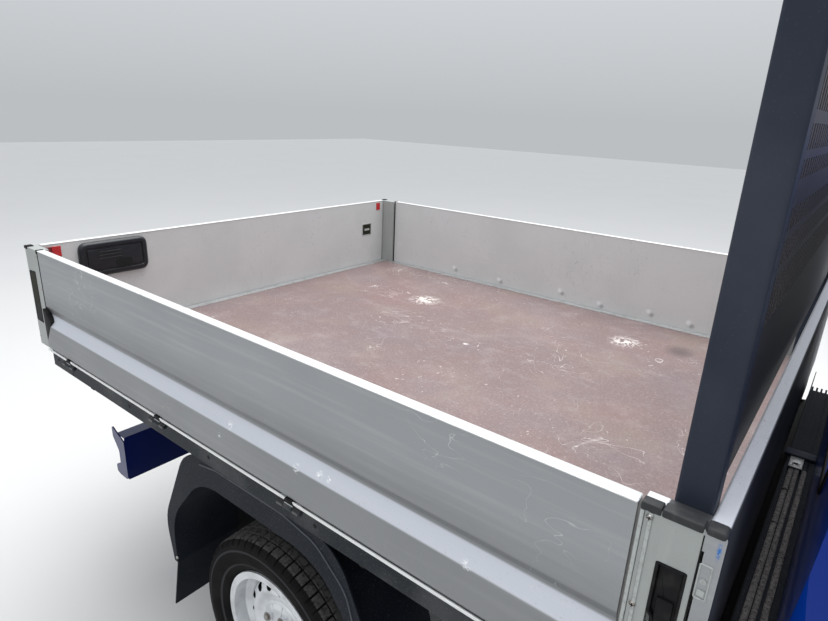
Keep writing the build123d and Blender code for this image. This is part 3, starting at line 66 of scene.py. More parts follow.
# Materials
class Look:
    """A procedural material in the object's own coordinates, kept in LOOKS when it is done."""

    def __init__(self, name, colour, roughness, metallic=0.0, coat=0.0, specular=0.5):
        self.name = name
        self.material = bpy.data.materials.new(name)
        self.material.use_nodes = True
        self.tree = self.material.node_tree
        self.shader = self.tree.nodes["Principled BSDF"]
        self.place = self.tree.nodes.new("ShaderNodeTexCoord").outputs["Object"]
        self.colour = (*colour, 1.0)
        self.roughness = roughness
        self.heights = []
        self.fill(self.shader, {
            "Base Color": self.colour, "Roughness": roughness, "Metallic": metallic,
            "Coat Weight": coat, "Coat Roughness": 0.06, "Specular IOR Level": specular,
        })

    def fill(self, node, inputs):
        """Set a node's sockets, or link them where the value is another node's socket."""
        for key, value in inputs.items():
            if isinstance(value, bpy.types.NodeSocket):
                self.tree.links.new(value, node.inputs[key])
            else:
                node.inputs[key].default_value = value

    def node(self, kind, inputs, **settings):
        made = self.tree.nodes.new(kind)
        for key, value in settings.items():
            setattr(made, key, value)
        self.fill(made, inputs)
        return made

    def stretched(self, stretch, shift=(0, 0, 0)):
        """The object's coordinates, scaled apart along its axes."""
        inputs = {"Vector": self.place, "Scale": stretch, "Location": shift}
        return self.node("ShaderNodeMapping", inputs).outputs["Vector"]

    def noise(self, scale, detail=4.0, stretch=(1, 1, 1), shift=(0, 0, 0), distortion=0.0):
        inputs = {
            "Vector": self.stretched(stretch, shift),
            "Scale": scale, "Detail": detail, "Distortion": distortion,
        }
        return self.node("ShaderNodeTexNoise", inputs).outputs["Fac"]

    def cells(self, scale, feature="F1"):
        inputs = {"Vector": self.place, "Scale": scale}
        return self.node("ShaderNodeTexVoronoi", inputs, feature=feature).outputs["Distance"]

    def math(self, operation, first, second=0.0):
        return self.node("ShaderNodeMath", {0: first, 1: second}, operation=operation).outputs[0]

    def times(self, first, second):
        return self.math("MULTIPLY", first, second)

    def band(self, value, low, high):
        """0 below low, 1 above high, smooth between; the other way round where low is above high."""
        inputs = {"Value": value, "From Min": low, "From Max": high}
        made = self.node("ShaderNodeMapRange", inputs, interpolation_type="SMOOTHSTEP")
        return made.outputs["Result"]

    def axis(self, letter, facing=False):
        """One of the object's coordinates, or of its surface's direction."""
        source = self.node("ShaderNodeTexCoord", {}).outputs["Normal"] if facing else self.place
        return self.node("ShaderNodeSeparateXYZ", {0: source}).outputs[letter]

    def lines(self, scale, width, stretch=(1, 1, 1), distortion=1.0, shift=(0, 0, 0)):
        """Thin curved lines, as scratches leave."""
        field = self.noise(scale, 2.0, stretch, shift, distortion)
        off = self.math("ABSOLUTE", self.math("SUBTRACT", field, 0.5))
        return self.math("SUBTRACT", 1.0, self.band(off, width * 0.4, width))

    def near(self, centre, radius, stretch=(1, 1, 1)):
        """1 at a point, falling to 0 at a distance."""
        inputs = {0: self.stretched(stretch), 1: [c * s for c, s in zip(centre, stretch)]}
        away = self.node("ShaderNodeVectorMath", inputs, operation="DISTANCE").outputs["Value"]
        return self.math("SUBTRACT", 1.0, self.band(away, radius * 0.15, radius))

    def from_axle(self):
        """The distance from the line of the nearer axle."""
        middle = (FRONT_AXLE + REAR_AXLE) / 2
        along = self.math("ABSOLUTE", self.math("SUBTRACT", self.axis("X"), middle))
        along = self.math("SUBTRACT", along, (FRONT_AXLE - REAR_AXLE) / 2)
        up = self.math("SUBTRACT", self.axis("Z"), TYRE_RADIUS)
        return self.math("SQRT", self.math("ADD", self.times(along, along), self.times(up, up)))

    def paint(self, mask, colour):
        """Lay a colour over what is there, by a mask."""
        inputs = {0: mask, 6: self.colour, 7: (*colour, 1.0)}
        self.colour = self.node("ShaderNodeMix", inputs, data_type="RGBA").outputs[2]

    def tint(self, field, low, high, share, colour):
        """Lay a share of a colour where a field is high."""
        self.paint(self.times(self.band(field, low, high), share), colour)

    def score(self, lines, field, low, high, share, colour):
        """Lay a share of a colour along lines, in the patches where a field is high."""
        self.paint(self.times(self.times(lines, self.band(field, low, high)), share), colour)

    def polish(self, mask, roughness):
        """Change the roughness by a mask."""
        inputs = {0: mask, 2: self.roughness, 3: roughness}
        self.roughness = self.node("ShaderNodeMix", inputs, data_type="FLOAT").outputs[0]

    def emboss(self, height, depth):
        """Raise or lower the surface by a height field, in metres."""
        self.heights.append((height, depth))

    def done(self):
        surface = {"Base Color": self.colour, "Roughness": self.roughness}
        for height, depth in self.heights:
            inputs = {"Strength": 1.0, "Distance": depth, "Height": height}
            if "Normal" in surface:
                inputs["Normal"] = surface["Normal"]
            surface["Normal"] = self.node("ShaderNodeBump", inputs).outputs["Normal"]
        self.fill(self.shader, surface)
        LOOKS[self.name] = self.material
        return self.material


def plain(name, colour, roughness, clouds=(), cells=(), relief=None, **finish):
    """A look with clouds (scale, detail, low, high, share, colour), cells (the same without
    the detail) and a fine relief (scale, detail, depth)."""
    look = Look(name, colour, roughness, **finish)
    for scale, detail, low, high, share, shade in clouds:
        look.tint(look.noise(scale, detail), low, high, share, shade)
    for scale, low, high, share, shade in cells:
        look.tint(look.cells(scale), low, high, share, shade)
    if relief:
        scale, detail, depth = relief
        look.emboss(look.noise(scale, detail), depth)
    return look


boards = Look("board_aluminium", (0.66, 0.665, 0.665), 0.45, metallic=0.35)
board_cloud = boards.noise(3.0, 5.0)
boards.tint(board_cloud, 0.4, 0.7, 0.5, (0.55, 0.555, 0.55))
# Painted light: painted shade on the outer faces, a painted highlight on up-facing slopes and deeper painted
# shade on down-facing ones
BOARD_OUTER = 0.989
side_face = boards.band(boards.math("ABSOLUTE", boards.axis("Y")), BOARD_OUTER - 0.0005, BOARD_OUTER + 0.0005)
tail_face = boards.math("LESS_THAN", boards.axis("X"), BED_REAR + 0.001)
for outer_mask in (side_face, tail_face):
    boards.paint(outer_mask, (0.305, 0.315, 0.325))
board_rise = boards.axis("Z", facing=True)
boards.paint(boards.band(board_rise, 0.08, 0.45), (0.60, 0.625, 0.68))
boards.paint(boards.band(boards.times(board_rise, -1.0), 0.08, 0.40), (0.155, 0.16, 0.165))
drawn = boards.noise(60.0, 3.0, stretch=(0.04, 1, 1))
boards.tint(drawn, 0.45, 0.7, 0.10, (0.68, 0.68, 0.68))
boards.tint(boards.noise(240.0, 2.0), 0.62, 0.75, 0.30, (0.36, 0.35, 0.33))
boards.score(
    boards.lines(9.0, 0.005, stretch=(1, 1, 2.2), distortion=0.6),
    boards.noise(2.2, 2.0, shift=(4, 1, 2)), 0.55, 0.64, 0.5, (0.74, 0.74, 0.74),
)
BOARD_UNDERSIDE = 1.0338
boards.paint(boards.math("LESS_THAN", boards.axis("Z"), BOARD_UNDERSIDE), (0.008, 0.009, 0.010))
# The level parts of the outer faces fall into shade toward the bottom
level_face = boards.band(boards.math("ABSOLUTE", board_rise), 0.5, 0.1)
shaded = boards.times(boards.math("MAXIMUM", side_face, tail_face), level_face)
shaded = boards.times(shaded, boards.band(boards.axis("Z"), 1.300, 1.195))
boards.paint(boards.times(shaded, 0.55), (0.185, 0.188, 0.188))
# Dents in the left board, each with a painted shade edge and a painted highlight edge
DENT_Y = 0.974
DENT_SHADE_AND_HIGHLIGHT = ((0.008, -0.007, (0.33, 0.335, 0.34)), (-0.008, 0.006, (0.84, 0.85, 0.87)))
for dent_x, dent_z in (
    (-2.18, 1.08), (-1.88, 1.07), (-1.52, 1.085), (-1.31, 1.065), (-1.07, 1.08), (-0.89, 1.07),
):
    dent = boards.near((dent_x, DENT_Y, dent_z), 0.026)
    boards.emboss(boards.times(dent, boards.noise(70.0)), 0.0022)
    for shift_x, shift_z, shade in DENT_SHADE_AND_HIGHLIGHT:
        edge_mask = boards.near((dent_x + shift_x, DENT_Y, dent_z + shift_z), 0.017)
        boards.paint(boards.times(edge_mask, 0.75), shade)
# Fine dark hairlines, and painted shade on the front wall's face toward the cab
boards.score(
    boards.lines(16.0, 0.0035, stretch=(1, 1, 0.5), distortion=1.2, shift=(2, 8, 3)),
    boards.noise(3.1, 2.0, shift=(1, 6, 9)), 0.46, 0.6, 0.45, (0.30, 0.30, 0.31),
)
toward_cab = boards.band(boards.axis("X", facing=True), 0.35, 0.75)
on_wall = boards.math("GREATER_THAN", boards.axis("X"), BED_FRONT - 0.03)
boards.paint(boards.times(boards.times(toward_cab, on_wall), 0.93), (0.018, 0.020, 0.026))
# White scratches on the right board's bulge, and a smear of blue on the front wall's end
for mark_x, mark_z, mark_size in (
    (-1.261, 1.138, 0.016), (-1.19, 1.151, 0.014), (-1.161, 1.152, 0.01),
    (-1.521, 1.148, 0.014), (-1.565, 1.105, 0.01), (-0.792, 1.141, 0.014),
):
    mark = boards.near((mark_x, -1.005, mark_z), mark_size, (1, 0.4, 1))
    nicks = boards.lines(60.0, 0.05, stretch=(1, 1, 2.0), distortion=0.5)
    boards.paint(boards.times(mark, nicks), (0.90, 0.91, 0.93))
smear = boards.near((-0.4112, -0.997, 1.382), 0.0045, (1, 1, 0.22))
boards.paint(boards.times(smear, boards.band(boards.noise(400.0), 0.42, 0.5)), (0.03, 0.16, 0.46))
boards.polish(boards.band(board_cloud, 0.35, 0.75), 0.58)
boards.emboss(drawn, 0.00005)
boards.done()

plywood = Look("plywood", (0.175, 0.122, 0.118), 0.50, specular=0.40)
for patch_scale, patch_shift, patch_colour in (
    (2.6, (2, 9, 4), (0.215, 0.128, 0.116)),
    (3.4, (7, 1, 3), (0.165, 0.128, 0.142)),
    (4.2, (5, 5, 8), (0.215, 0.162, 0.134)),
):
    plywood.tint(plywood.noise(patch_scale, 6.0, shift=patch_shift), 0.48, 0.72, 0.55, patch_colour)
plywood.tint(plywood.noise(1.6, 6.0), 0.40, 0.75, 0.35, (0.275, 0.225, 0.220))
smudge = plywood.noise(7.0, 6.0, shift=(3, 7, 1), distortion=0.4)
plywood.tint(smudge, 0.5, 0.8, 0.30, (0.33, 0.285, 0.275))
rubbed = plywood.noise(22.0, 8.0, stretch=(0.7, 1, 1), shift=(1, 5, 2))
plywood.tint(rubbed, 0.52, 0.70, 0.16, (0.36, 0.315, 0.305))
grain = plywood.noise(160.0, 4.0, stretch=(0.6, 1, 1), shift=(4, 2, 6))
plywood.tint(grain, 0.54, 0.66, 0.25, (0.40, 0.355, 0.345))
chips = plywood.noise(75.0, 3.0, stretch=(1, 0.6, 1), shift=(6, 6, 1), distortion=0.5)
plywood.score(
    plywood.band(chips, 0.675, 0.72),
    plywood.noise(2.4, 3.0, shift=(2, 2, 2)), 0.44, 0.60, 0.7, (0.58, 0.53, 0.50),
)
plywood.tint(grain, 0.46, 0.36, 0.30, (0.185, 0.15, 0.148))
plywood.tint(plywood.noise(90.0, 6.0), 0.55, 0.7, 0.35, (0.125, 0.088, 0.088))
plywood.tint(plywood.noise(420.0, 2.0), 0.58, 0.72, 0.35, (0.45, 0.41, 0.39))
plywood.score(
    plywood.lines(5.0, 0.0035, distortion=1.6),
    plywood.noise(1.9, 2.0, shift=(8, 2, 5)), 0.5, 0.62, 0.75, (0.55, 0.50, 0.48),
)
plywood.polish(plywood.band(smudge, 0.4, 0.7), 0.6)
plywood.emboss(plywood.noise(300.0, 2.0), 0.00008)
# Pale splashes with rays, and a dark stain, where the load has marked the floor
splash = plywood.band(plywood.cells(26.0, feature="SMOOTH_F1"), 0.22, 0.05)
rays = plywood.band(plywood.noise(42.0, 5.0, shift=(3, 3, 3), distortion=1.4), 0.47, 0.53)
for mask, share, marked, spots in (
    (splash, 0.8, (0.62, 0.58, 0.56), ((-1.059, 0.628, 0.15), (-2.02, 0.48, 0.10), (-1.55, 0.12, 0.10))),
    (rays, 0.95, (0.66, 0.62, 0.58), ((-1.059, 0.628, 0.085), (-2.02, 0.48, 0.10))),
):
    for spot_x, spot_y, size in spots:
        spot = plywood.near((spot_x, spot_y, FLOOR_TOP), size)
        plywood.paint(plywood.times(plywood.times(mask, spot), share), marked)
stain = plywood.near((-0.849, 0.679, FLOOR_TOP), 0.075, (1, 0.8, 1))
plywood.paint(plywood.times(stain, 0.7), (0.085, 0.066, 0.066))
plywood.done()

pillar = Look("pillar_paint", (0.345, 0.362, 0.35), 0.48, metallic=0.2)
pillar.tint(pillar.noise(5.0, 5.0), 0.4, 0.75, 0.5, (0.285, 0.30, 0.29))
pillar.tint(pillar.noise(60.0, 4.0, stretch=(1, 1, 0.1)), 0.5, 0.8, 0.3, (0.45, 0.47, 0.45))
pillar.tint(pillar.noise(320.0, 2.0), 0.62, 0.72, 0.3, (0.21, 0.21, 0.20))
pillar.emboss(pillar.noise(500.0, 2.0), 0.00005)
# Tops of the front pillars: the board's pale lip, then the dark cap
LIP_END = -0.489
PILLAR_TOP = 1.400
pillar_top = pillar.times(
    pillar.band(pillar.axis("Z", facing=True), 0.4, 0.7),
    pillar.math("GREATER_THAN", pillar.axis("Z"), PILLAR_TOP),
)
pillar_top = pillar.times(pillar_top, pillar.math("GREATER_THAN", pillar.axis("X"), -0.60))
past_lip = pillar.band(pillar.axis("X"), LIP_END - 0.0015, LIP_END + 0.0015)
pillar.paint(pillar_top, (0.62, 0.63, 0.64))
pillar.paint(pillar.times(pillar_top, past_lip), (0.045, 0.046, 0.050))
pillar.done()

plain(
    "panel_paint", (0.016, 0.013, 0.013), 0.5,
    ((3.0, 5.0, 0.45, 0.75, 0.5, (0.034, 0.029, 0.028)), (300.0, 2.0, 0.63, 0.73, 0.3, (0.10, 0.095, 0.09))),
    relief=(600.0, 2.0, 0.00006)
).done()
steel = plain(
    "bed_steel", (0.015, 0.019, 0.024), 0.5,
    ((5.0, 5.0, 0.45, 0.75, 0.4, (0.13, 0.13, 0.13)), (350.0, 2.0, 0.6, 0.72, 0.4, (0.2, 0.19, 0.18))),
    relief=(500.0, 2.0, 0.00008), specular=0.12,
)
steel.paint(steel.math("GREATER_THAN", steel.axis("Z"), 1.030), (0.40, 0.41, 0.41))
steel.done()
plain(
    "headboard_paint", (0.022, 0.028, 0.043), 0.5,
    ((4.0, 6.0, 0.45, 0.75, 0.3, (0.075, 0.082, 0.10)), (260.0, 2.0, 0.64, 0.74, 0.12, (0.12, 0.12, 0.12))),
    relief=(700.0, 2.0, 0.00006), specular=0.15
).done()
plain(
    "chassis_paint", (0.018, 0.019, 0.02), 0.55,
    ((9.0, 5.0, 0.45, 0.7, 0.5, (0.07, 0.062, 0.055)),), relief=(120.0, 3.0, 0.0003)
).done()
plain(
    "ram_paint", (0.02, 0.02, 0.022), 0.4, ((30.0, 3.0, 0.5, 0.7, 0.4, (0.06, 0.055, 0.05)),)
).done()
chrome = Look("ram_chrome", (0.72, 0.72, 0.73), 0.12, metallic=1.0)
chrome.polish(chrome.band(chrome.noise(80.0, 3.0), 0.5, 0.7), 0.25)
chrome.done()
body = plain(
    "body_paint", (0.0006, 0.022, 0.210), 0.30,
    ((2.0, 5.0, 0.4, 0.8, 0.25, (0.004, 0.034, 0.235)), (500.0, 2.0, 0.66, 0.75, 0.12, (0.12, 0.15, 0.27))),
    relief=(90.0, 2.0, 0.00002), coat=0.26, specular=0.12,
)
# Painted light: the rear-facing faces get a brighter blue
body.paint(body.band(body.axis("X", facing=True), -0.45, -0.85), (0.001, 0.040, 0.330))
body.done()
plain(
    "beam_paint", (0.001, 0.008, 0.085), 0.34,
    ((14.0, 5.0, 0.5, 0.75, 0.35, (0.006, 0.016, 0.085)),), coat=0.4, specular=0.2
).done()
DARK = plain(
    "dark_plastic", (0.009, 0.012, 0.018), 0.55,
    ((6.0, 5.0, 0.4, 0.75, 0.4, (0.022, 0.025, 0.031)), (300.0, 2.0, 0.62, 0.72, 0.35, (0.16, 0.15, 0.14))),
    relief=(900.0, 2.0, 0.0001), specular=0.10
).done()
glass = Look("glass", (0.55, 0.62, 0.62), 0.03)
glass.shader.inputs["Transmission Weight"].default_value = 0.85
glass.shader.inputs["IOR"].default_value = 1.45
glass.polish(glass.band(glass.noise(9.0, 4.0), 0.55, 0.8), 0.12)
glass.done()

# Red cells at the rear; clear with upright flutes at the front
lamp = plain(
    "lamp_plastic", (0.42, 0.02, 0.02), 0.15,
    cells=((160.0, 0.2, 0.6, 0.35, (0.75, 0.08, 0.06)),), coat=0.8,
)
at_front = lamp.math("GREATER_THAN", lamp.axis("X"), 0.0)
lamp.paint(at_front, (0.60, 0.63, 0.65))
flutes = lamp.math("SINE", lamp.times(lamp.axis("Y"), 520.0))
flute_mask = lamp.times(lamp.band(flutes, 0.2, 0.9), 0.5)
lamp.paint(lamp.times(flute_mask, at_front), (0.42, 0.45, 0.47))
lamp.emboss(flutes, 0.0003)
lamp.done()

rim = plain(
    "rim_paint", (0.74, 0.76, 0.78), 0.36,
    ((12.0, 5.0, 0.45, 0.75, 0.45, (0.30, 0.28, 0.26)),),
    relief=(400.0, 2.0, 0.00005), metallic=0.4, coat=0.2,
)
# The walls of the holes in the disc are in shadow
rim_reach = rim.from_axle()
in_hole = rim.times(rim.band(rim_reach, 0.1330, 0.1350), rim.band(rim_reach, 0.1665, 0.1645))
edge_on = rim.band(rim.math("ABSOLUTE", rim.axis("Y", facing=True)), 0.45, 0.30)
rim.paint(rim.times(in_hole, edge_on), (0.006, 0.006, 0.007))
rim.done()

tyre = plain(
    "tyre", (0.006, 0.006, 0.0065), 0.8,
    ((14.0, 5.0, 0.4, 0.7, 0.4, (0.020, 0.019, 0.018)), (260.0, 3.0, 0.55, 0.7, 0.2, (0.045, 0.043, 0.041))),
    relief=(500.0, 3.0, 0.0003), specular=0.08,
)
# Dusty block tops and two paler rings on the sidewalls, by the distance from the axle
tyre_reach = tyre.from_axle()
tyre_worn = tyre.times(tyre.band(tyre.noise(90.0, 4.0), 0.15, 0.60), 0.8)
tyre.paint(tyre.times(tyre.band(tyre_reach, 0.3315, 0.3335), tyre_worn), (0.105, 0.102, 0.098))
for ring_reach in (0.3010, 0.2515):
    off_ring = tyre.math("ABSOLUTE", tyre.math("SUBTRACT", tyre_reach, ring_reach))
    tyre.tint(off_ring, 0.0048, 0.0015, 0.7, (0.055, 0.055, 0.058))
tyre.done()

seat = Look("seat_fabric", (0.055, 0.057, 0.062), 0.9)
weave = seat.times(
    seat.band(seat.noise(700.0, 1.0, stretch=(1, 0.2, 1)), 0.4, 0.6),
    seat.band(seat.noise(700.0, 1.0, stretch=(0.2, 1, 0.2)), 0.4, 0.6),
)
seat.paint(seat.times(weave, 0.5), (0.13, 0.135, 0.145))
seat.shader.inputs["Sheen Weight"].default_value = 0.4
seat.emboss(weave, 0.0004)
seat.done()
plain(
    "cast_metal", (0.16, 0.155, 0.15), 0.6, ((20.0, 5.0, 0.45, 0.7, 0.6, (0.10, 0.07, 0.05)),),
    relief=(150.0, 4.0, 0.0006), metallic=0.7
).done()

slots = {part["node"]: part["material_slot"] for part in frame["record"]["subparts"]}
for name, node in nodes.items():
    for material_slot in node.material_slots:
        material_slot.material = LOOKS[slots[name]]

# Plastics, painted metal, lenses and rubber of the fittings
BOLT_STEEL = plain(
    "bolt_steel", (0.36, 0.35, 0.33), 0.35, ((90.0, 4.0, 0.5, 0.7, 0.5, (0.22, 0.15, 0.10)),), metallic=0.9
).done()
BLACK = plain(
    "black_fitting", (0.008, 0.008, 0.009), 0.5, ((40.0, 4.0, 0.45, 0.7, 0.5, (0.030, 0.029, 0.028)),),
    relief=(900.0, 2.0, 0.00008), specular=0.10
).done()
CAP_GREY = plain(
    "cap_grey", (0.030, 0.032, 0.034), 0.5, ((60.0, 4.0, 0.45, 0.7, 0.5, (0.060, 0.060, 0.058)),),
    relief=(800.0, 2.0, 0.0001), specular=0.2
).done()
LATCH_GREY = plain(
    "latch_grey", (0.40, 0.42, 0.41), 0.42, ((120.0, 4.0, 0.5, 0.7, 0.5, (0.22, 0.22, 0.20)),), metallic=0.2
).done()
OLIVE = plain(
    "olive_shade", (0.024, 0.024, 0.017), 0.6, ((60.0, 4.0, 0.45, 0.7, 0.5, (0.040, 0.040, 0.030)),),
    specular=0.10
).done()
ZINC = plain(
    "zinc_trim", (0.42, 0.43, 0.43), 0.38, ((25.0, 5.0, 0.45, 0.7, 0.6, (0.27, 0.27, 0.26)),),
    ((90.0, 0.1, 0.5, 0.2, (0.55, 0.56, 0.56)),), metallic=0.7
).done()
bright = plain(
    "bright_edge", (0.72, 0.73, 0.72), 0.4, ((18.0, 5.0, 0.5, 0.75, 0.5, (0.50, 0.50, 0.49)),),
    metallic=0.35,
)
bright.paint(bright.times(bright.lines(25.0, 0.01, stretch=(1, 4, 4)), 0.3), (0.40, 0.39, 0.37))
BRIGHT = bright.done()
RED_LENS = plain(
    "red_lens", (0.42, 0.004, 0.010), 0.18, cells=((420.0, 0.3, 0.6, 0.4, (0.62, 0.03, 0.03)),), coat=0.8
).done()
# A darker copy of the red lens, as painted shade
SHADED_RED_LENS = plain(
    "shaded_red_lens", (0.13, 0.004, 0.006), 0.3, cells=((420.0, 0.3, 0.6, 0.4, (0.20, 0.01, 0.012)),),
    coat=0.6
).done()
AMBER = plain(
    "amber_lens", (0.70, 0.22, 0.01), 0.2, cells=((420.0, 0.3, 0.6, 0.4, (0.85, 0.38, 0.04)),), coat=0.8
).done()
CLEAR = plain(
    "clear_lens", (0.70, 0.72, 0.73), 0.12, cells=((300.0, 0.3, 0.6, 0.3, (0.52, 0.54, 0.55)),), coat=1.0
).done()
mirror_face = Look("mirror_face", (0.80, 0.82, 0.84), 0.04, metallic=1.0)
mirror_face.polish(mirror_face.band(mirror_face.noise(30.0, 3.0), 0.55, 0.8), 0.12)
MIRROR = mirror_face.done()
CHROME_BOWL = plain(
    "lamp_bowl", (0.80, 0.81, 0.83), 0.10, cells=((130.0, 0.15, 0.5, 0.5, (0.50, 0.52, 0.55)),),
    metallic=0.9, coat=1.0
).done()
PLATE_WHITE = plain(
    "blank_plate", (0.70, 0.70, 0.68), 0.35, ((30.0, 5.0, 0.45, 0.75, 0.4, (0.58, 0.575, 0.55)),)
).done()
STEP_PLASTIC = plain(
    "step_plastic", (0.010, 0.011, 0.015), 0.34, ((30.0, 5.0, 0.5, 0.75, 0.3, (0.030, 0.031, 0.035)),),
    relief=(700.0, 2.0, 0.0001), specular=0.42
).done()
# Near black, for painted shade in holes and pits
PIT = plain(
    "shadow_pit", (0.002, 0.002, 0.002), 0.9, ((80.0, 3.0, 0.5, 0.8, 1.0, (0.005, 0.005, 0.005)),)
).done()
RUBBER = plain(
    "gasket_rubber", (0.010, 0.010, 0.011), 0.6, ((50.0, 4.0, 0.45, 0.7, 0.5, (0.022, 0.022, 0.023)),),
    relief=(700.0, 2.0, 0.00008), specular=0.3
).done()
# Paler plastic for the mudguard beads, a painted highlight along them
BEAD_HIGHLIGHT_PLASTIC = plain(
    "bead_highlight_plastic", (0.050, 0.056, 0.070), 0.5, ((12.0, 5.0, 0.42, 0.7, 0.5, (0.024, 0.027, 0.033)),),
    relief=(500.0, 2.0, 0.0001), specular=0.35
).done()
FOAM = plain(
    "dusty_foam", (0.035, 0.034, 0.036), 0.9, ((130.0, 5.0, 0.42, 0.62, 0.75, (0.15, 0.142, 0.14)),),
    ((260.0, 0.25, 0.6, 0.4, (0.24, 0.225, 0.22)),), relief=(240.0, 4.0, 0.0010)
).done()
PALE_FLOOR = plain(
    "pale_floor", (0.62, 0.62, 0.61), 0.8, ((0.8, 3.0, 0.3, 0.8, 0.3, (0.58, 0.58, 0.575)),)
).done()


# Building pieces
SLOT_OF = {"x": (1, 2, 0), "y": (0, 2, 1), "z": (0, 1, 2)}


def put(axis, first, second, level):
    """A point at (first, second) across an axis, at a level along it."""
    point = [0.0, 0.0, 0.0]
    for slot, value in zip(SLOT_OF[axis], (first, second, level)):
        point[slot] = value
    return point


class Shape:
    """Small solids gathered into one mesh, in metres in the vehicle's frame."""

    def __init__(self):
        self.mesh = bmesh.new()

    def soften(self, geometry, bevel, segments=2):
        if bevel:
            bmesh.ops.bevel(
                self.mesh, geom=geometry, offset=bevel, segments=segments,
                affect="EDGES", profile=0.5, clamp_overlap=True,
            )

    def take(self, data):
        """Add a mesh's corners and faces, and remove it."""
        self.mesh.from_mesh(data)
        bpy.data.meshes.remove(data)

    def ring(self, points, axis, level):
        return [self.mesh.verts.new(put(axis, *point, level)) for point in points]

    def bridge(self, rings, caps=True, looped=False):
        """Join rings of corners by faces that look outward."""
        faces = []
        for below, above in zip(rings, rings[1:] + ([rings[0]] if looped else [])):
            for here in range(len(below)):
                after = (here + 1) % len(below)
                faces.append(self.mesh.faces.new((below[here], below[after], above[after], above[here])))
        if caps:
            faces += [self.mesh.faces.new(rings[0]), self.mesh.faces.new(rings[-1])]
        bmesh.ops.recalc_face_normals(self.mesh, faces=faces)
        return faces

    def box(self, start, end, bevel=0.0, segments=2):
        corners = bmesh.ops.create_cube(self.mesh, size=1.0)["verts"]
        spans = [sorted(pair) for pair in zip(start, end)]
        for corner in corners:
            corner.co = [(low + high) / 2 + c * (high - low) for (low, high), c in zip(spans, corner.co)]
        edges = {edge for corner in corners for edge in corner.link_edges}
        self.soften(list(edges), bevel, segments)

    def rod(self, start, end, radius, sides=24, end_radius=None, bevel=0.0):
        run = Vector(end) - Vector(start)
        turn = run.to_track_quat("Z", "Y").to_matrix().to_4x4()
        made = bmesh.ops.create_cone(
            self.mesh, cap_ends=True, segments=sides, radius1=radius,
            radius2=radius if end_radius is None else end_radius, depth=run.length,
            matrix=Matrix.Translation((Vector(start) + Vector(end)) / 2) @ turn,
        )["verts"]
        if bevel:
            rims = {
                edge
                for corner in made
                for edge in corner.link_edges
                if any(len(face.verts) > 4 for face in edge.link_faces)
            }
            self.soften(list(rims), bevel)

    def ball(self, centre, radius, flat, rings):
        place = Matrix.Translation(centre) @ Matrix.Diagonal((*flat, 1))
        bmesh.ops.create_uvsphere(
            self.mesh, u_segments=2 * rings, v_segments=rings, radius=radius, matrix=place,
        )

    def prism(self, points, axis, low, high, bevel=0.0):
        """An outline of (first, second) points run along the third axis."""
        faces = self.bridge([self.ring(points, axis, low), self.ring(points, axis, high)])
        edges = {edge for face in faces for edge in face.edges}
        self.soften(list(edges), bevel)

    def tube(self, points, radius, sides=12):
        """A round tube along a line of points."""
        line = [Vector(point) for point in points]
        section = [(*point, 0) for point in circle(0, 0, radius, sides)]
        rings = []
        for number, point in enumerate(line):
            before = line[max(number - 1, 0)]
            after = line[min(number + 1, len(line) - 1)]
            turn = (after - before).to_track_quat("Z", "Y")
            rings.append([self.mesh.verts.new(point + turn @ Vector(corner)) for corner in section])
        self.bridge(rings)

    def piece(self, name, material, ride="vehicle", crease=35.0):
        """Finish the mesh as one piece of a CAD body, and start a new one."""
        self.mesh.normal_update()
        for edge in self.mesh.edges:
            sharp = len(edge.link_faces) == 2 and edge.calc_face_angle(0.0) > math.radians(crease)
            edge.smooth = not sharp
        for face in self.mesh.faces:
            face.smooth = True
        data = bpy.data.meshes.new(name)
        self.mesh.to_mesh(data)
        self.mesh.free()
        self.mesh = bmesh.new()
        data.materials.append(material)
        made = bpy.data.objects.new(name, data)
        bpy.context.collection.objects.link(made)
        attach(made, ride)
        return made


def circle(first, second, radius, count, tall=None):
    """Points round a circle, or round an oval of another height."""
    angles = [2 * math.pi * number / count for number in range(count)]
    rise = radius if tall is None else tall
    return [(first + radius * math.cos(angle), second + rise * math.sin(angle)) for angle in angles]


def hoop(axis, centre, radius, count, tall=None):
    """A circle's points in space, with the first one again at the end."""
    first, second, level = (centre[slot] for slot in SLOT_OF[axis])
    points = [put(axis, *point, level) for point in circle(first, second, radius, count, tall)]
    return points + points[:1]


def rounded(rows, steps=6, closed=True):
    """Points along an outline of (first, second, corner radius) rows."""
    points = []
    count = len(rows)
    for number, (first, second, radius) in enumerate(rows):
        corner = Vector((first, second))
        if not radius or (not closed and number in (0, count - 1)):
            points.append((first, second))
            continue
        before = Vector(rows[(number - 1) % count][:2]) - corner
        after = Vector(rows[(number + 1) % count][:2]) - corner
        half = before.angle(after) / 2
        reach = min(radius / math.tan(half), 0.49 * before.length, 0.49 * after.length)
        start = corner + before.normalized() * reach
        end = corner + after.normalized() * reach
        for step in range(steps + 1):
            along = step / steps
            bend = start * (1 - along) ** 2 + corner * (2 * along * (1 - along)) + end * along**2
            points.append(tuple(bend))
    return points


def inset(points, distance):
    """The same closed outline, moved in by a distance."""
    ahead = points[1:] + points[:1]
    area = sum(here[0] * after[1] - after[0] * here[1] for here, after in zip(points, ahead))
    turn = 1 if area > 0 else -1
    moved = []
    for number, after in enumerate(ahead):
        here = Vector(points[number])
        arriving = (here - Vector(points[number - 1])).normalized()
        leaving = (Vector(after) - here).normalized()
        inward = Vector((-arriving.y - leaving.y, arriving.x + leaving.x)) * turn
        moved.append(tuple(here + inward * (distance / max(1 + arriving.dot(leaving), 0.4))))
    return moved


def round_box(first, second, radius, steps=5):
    """A rounded rectangle's outline between low and high values."""
    corners = ((first[0], second[0]), (first[1], second[0]), (first[1], second[1]), (first[0], second[1]))
    return rounded([(*corner, radius) for corner in corners], steps)


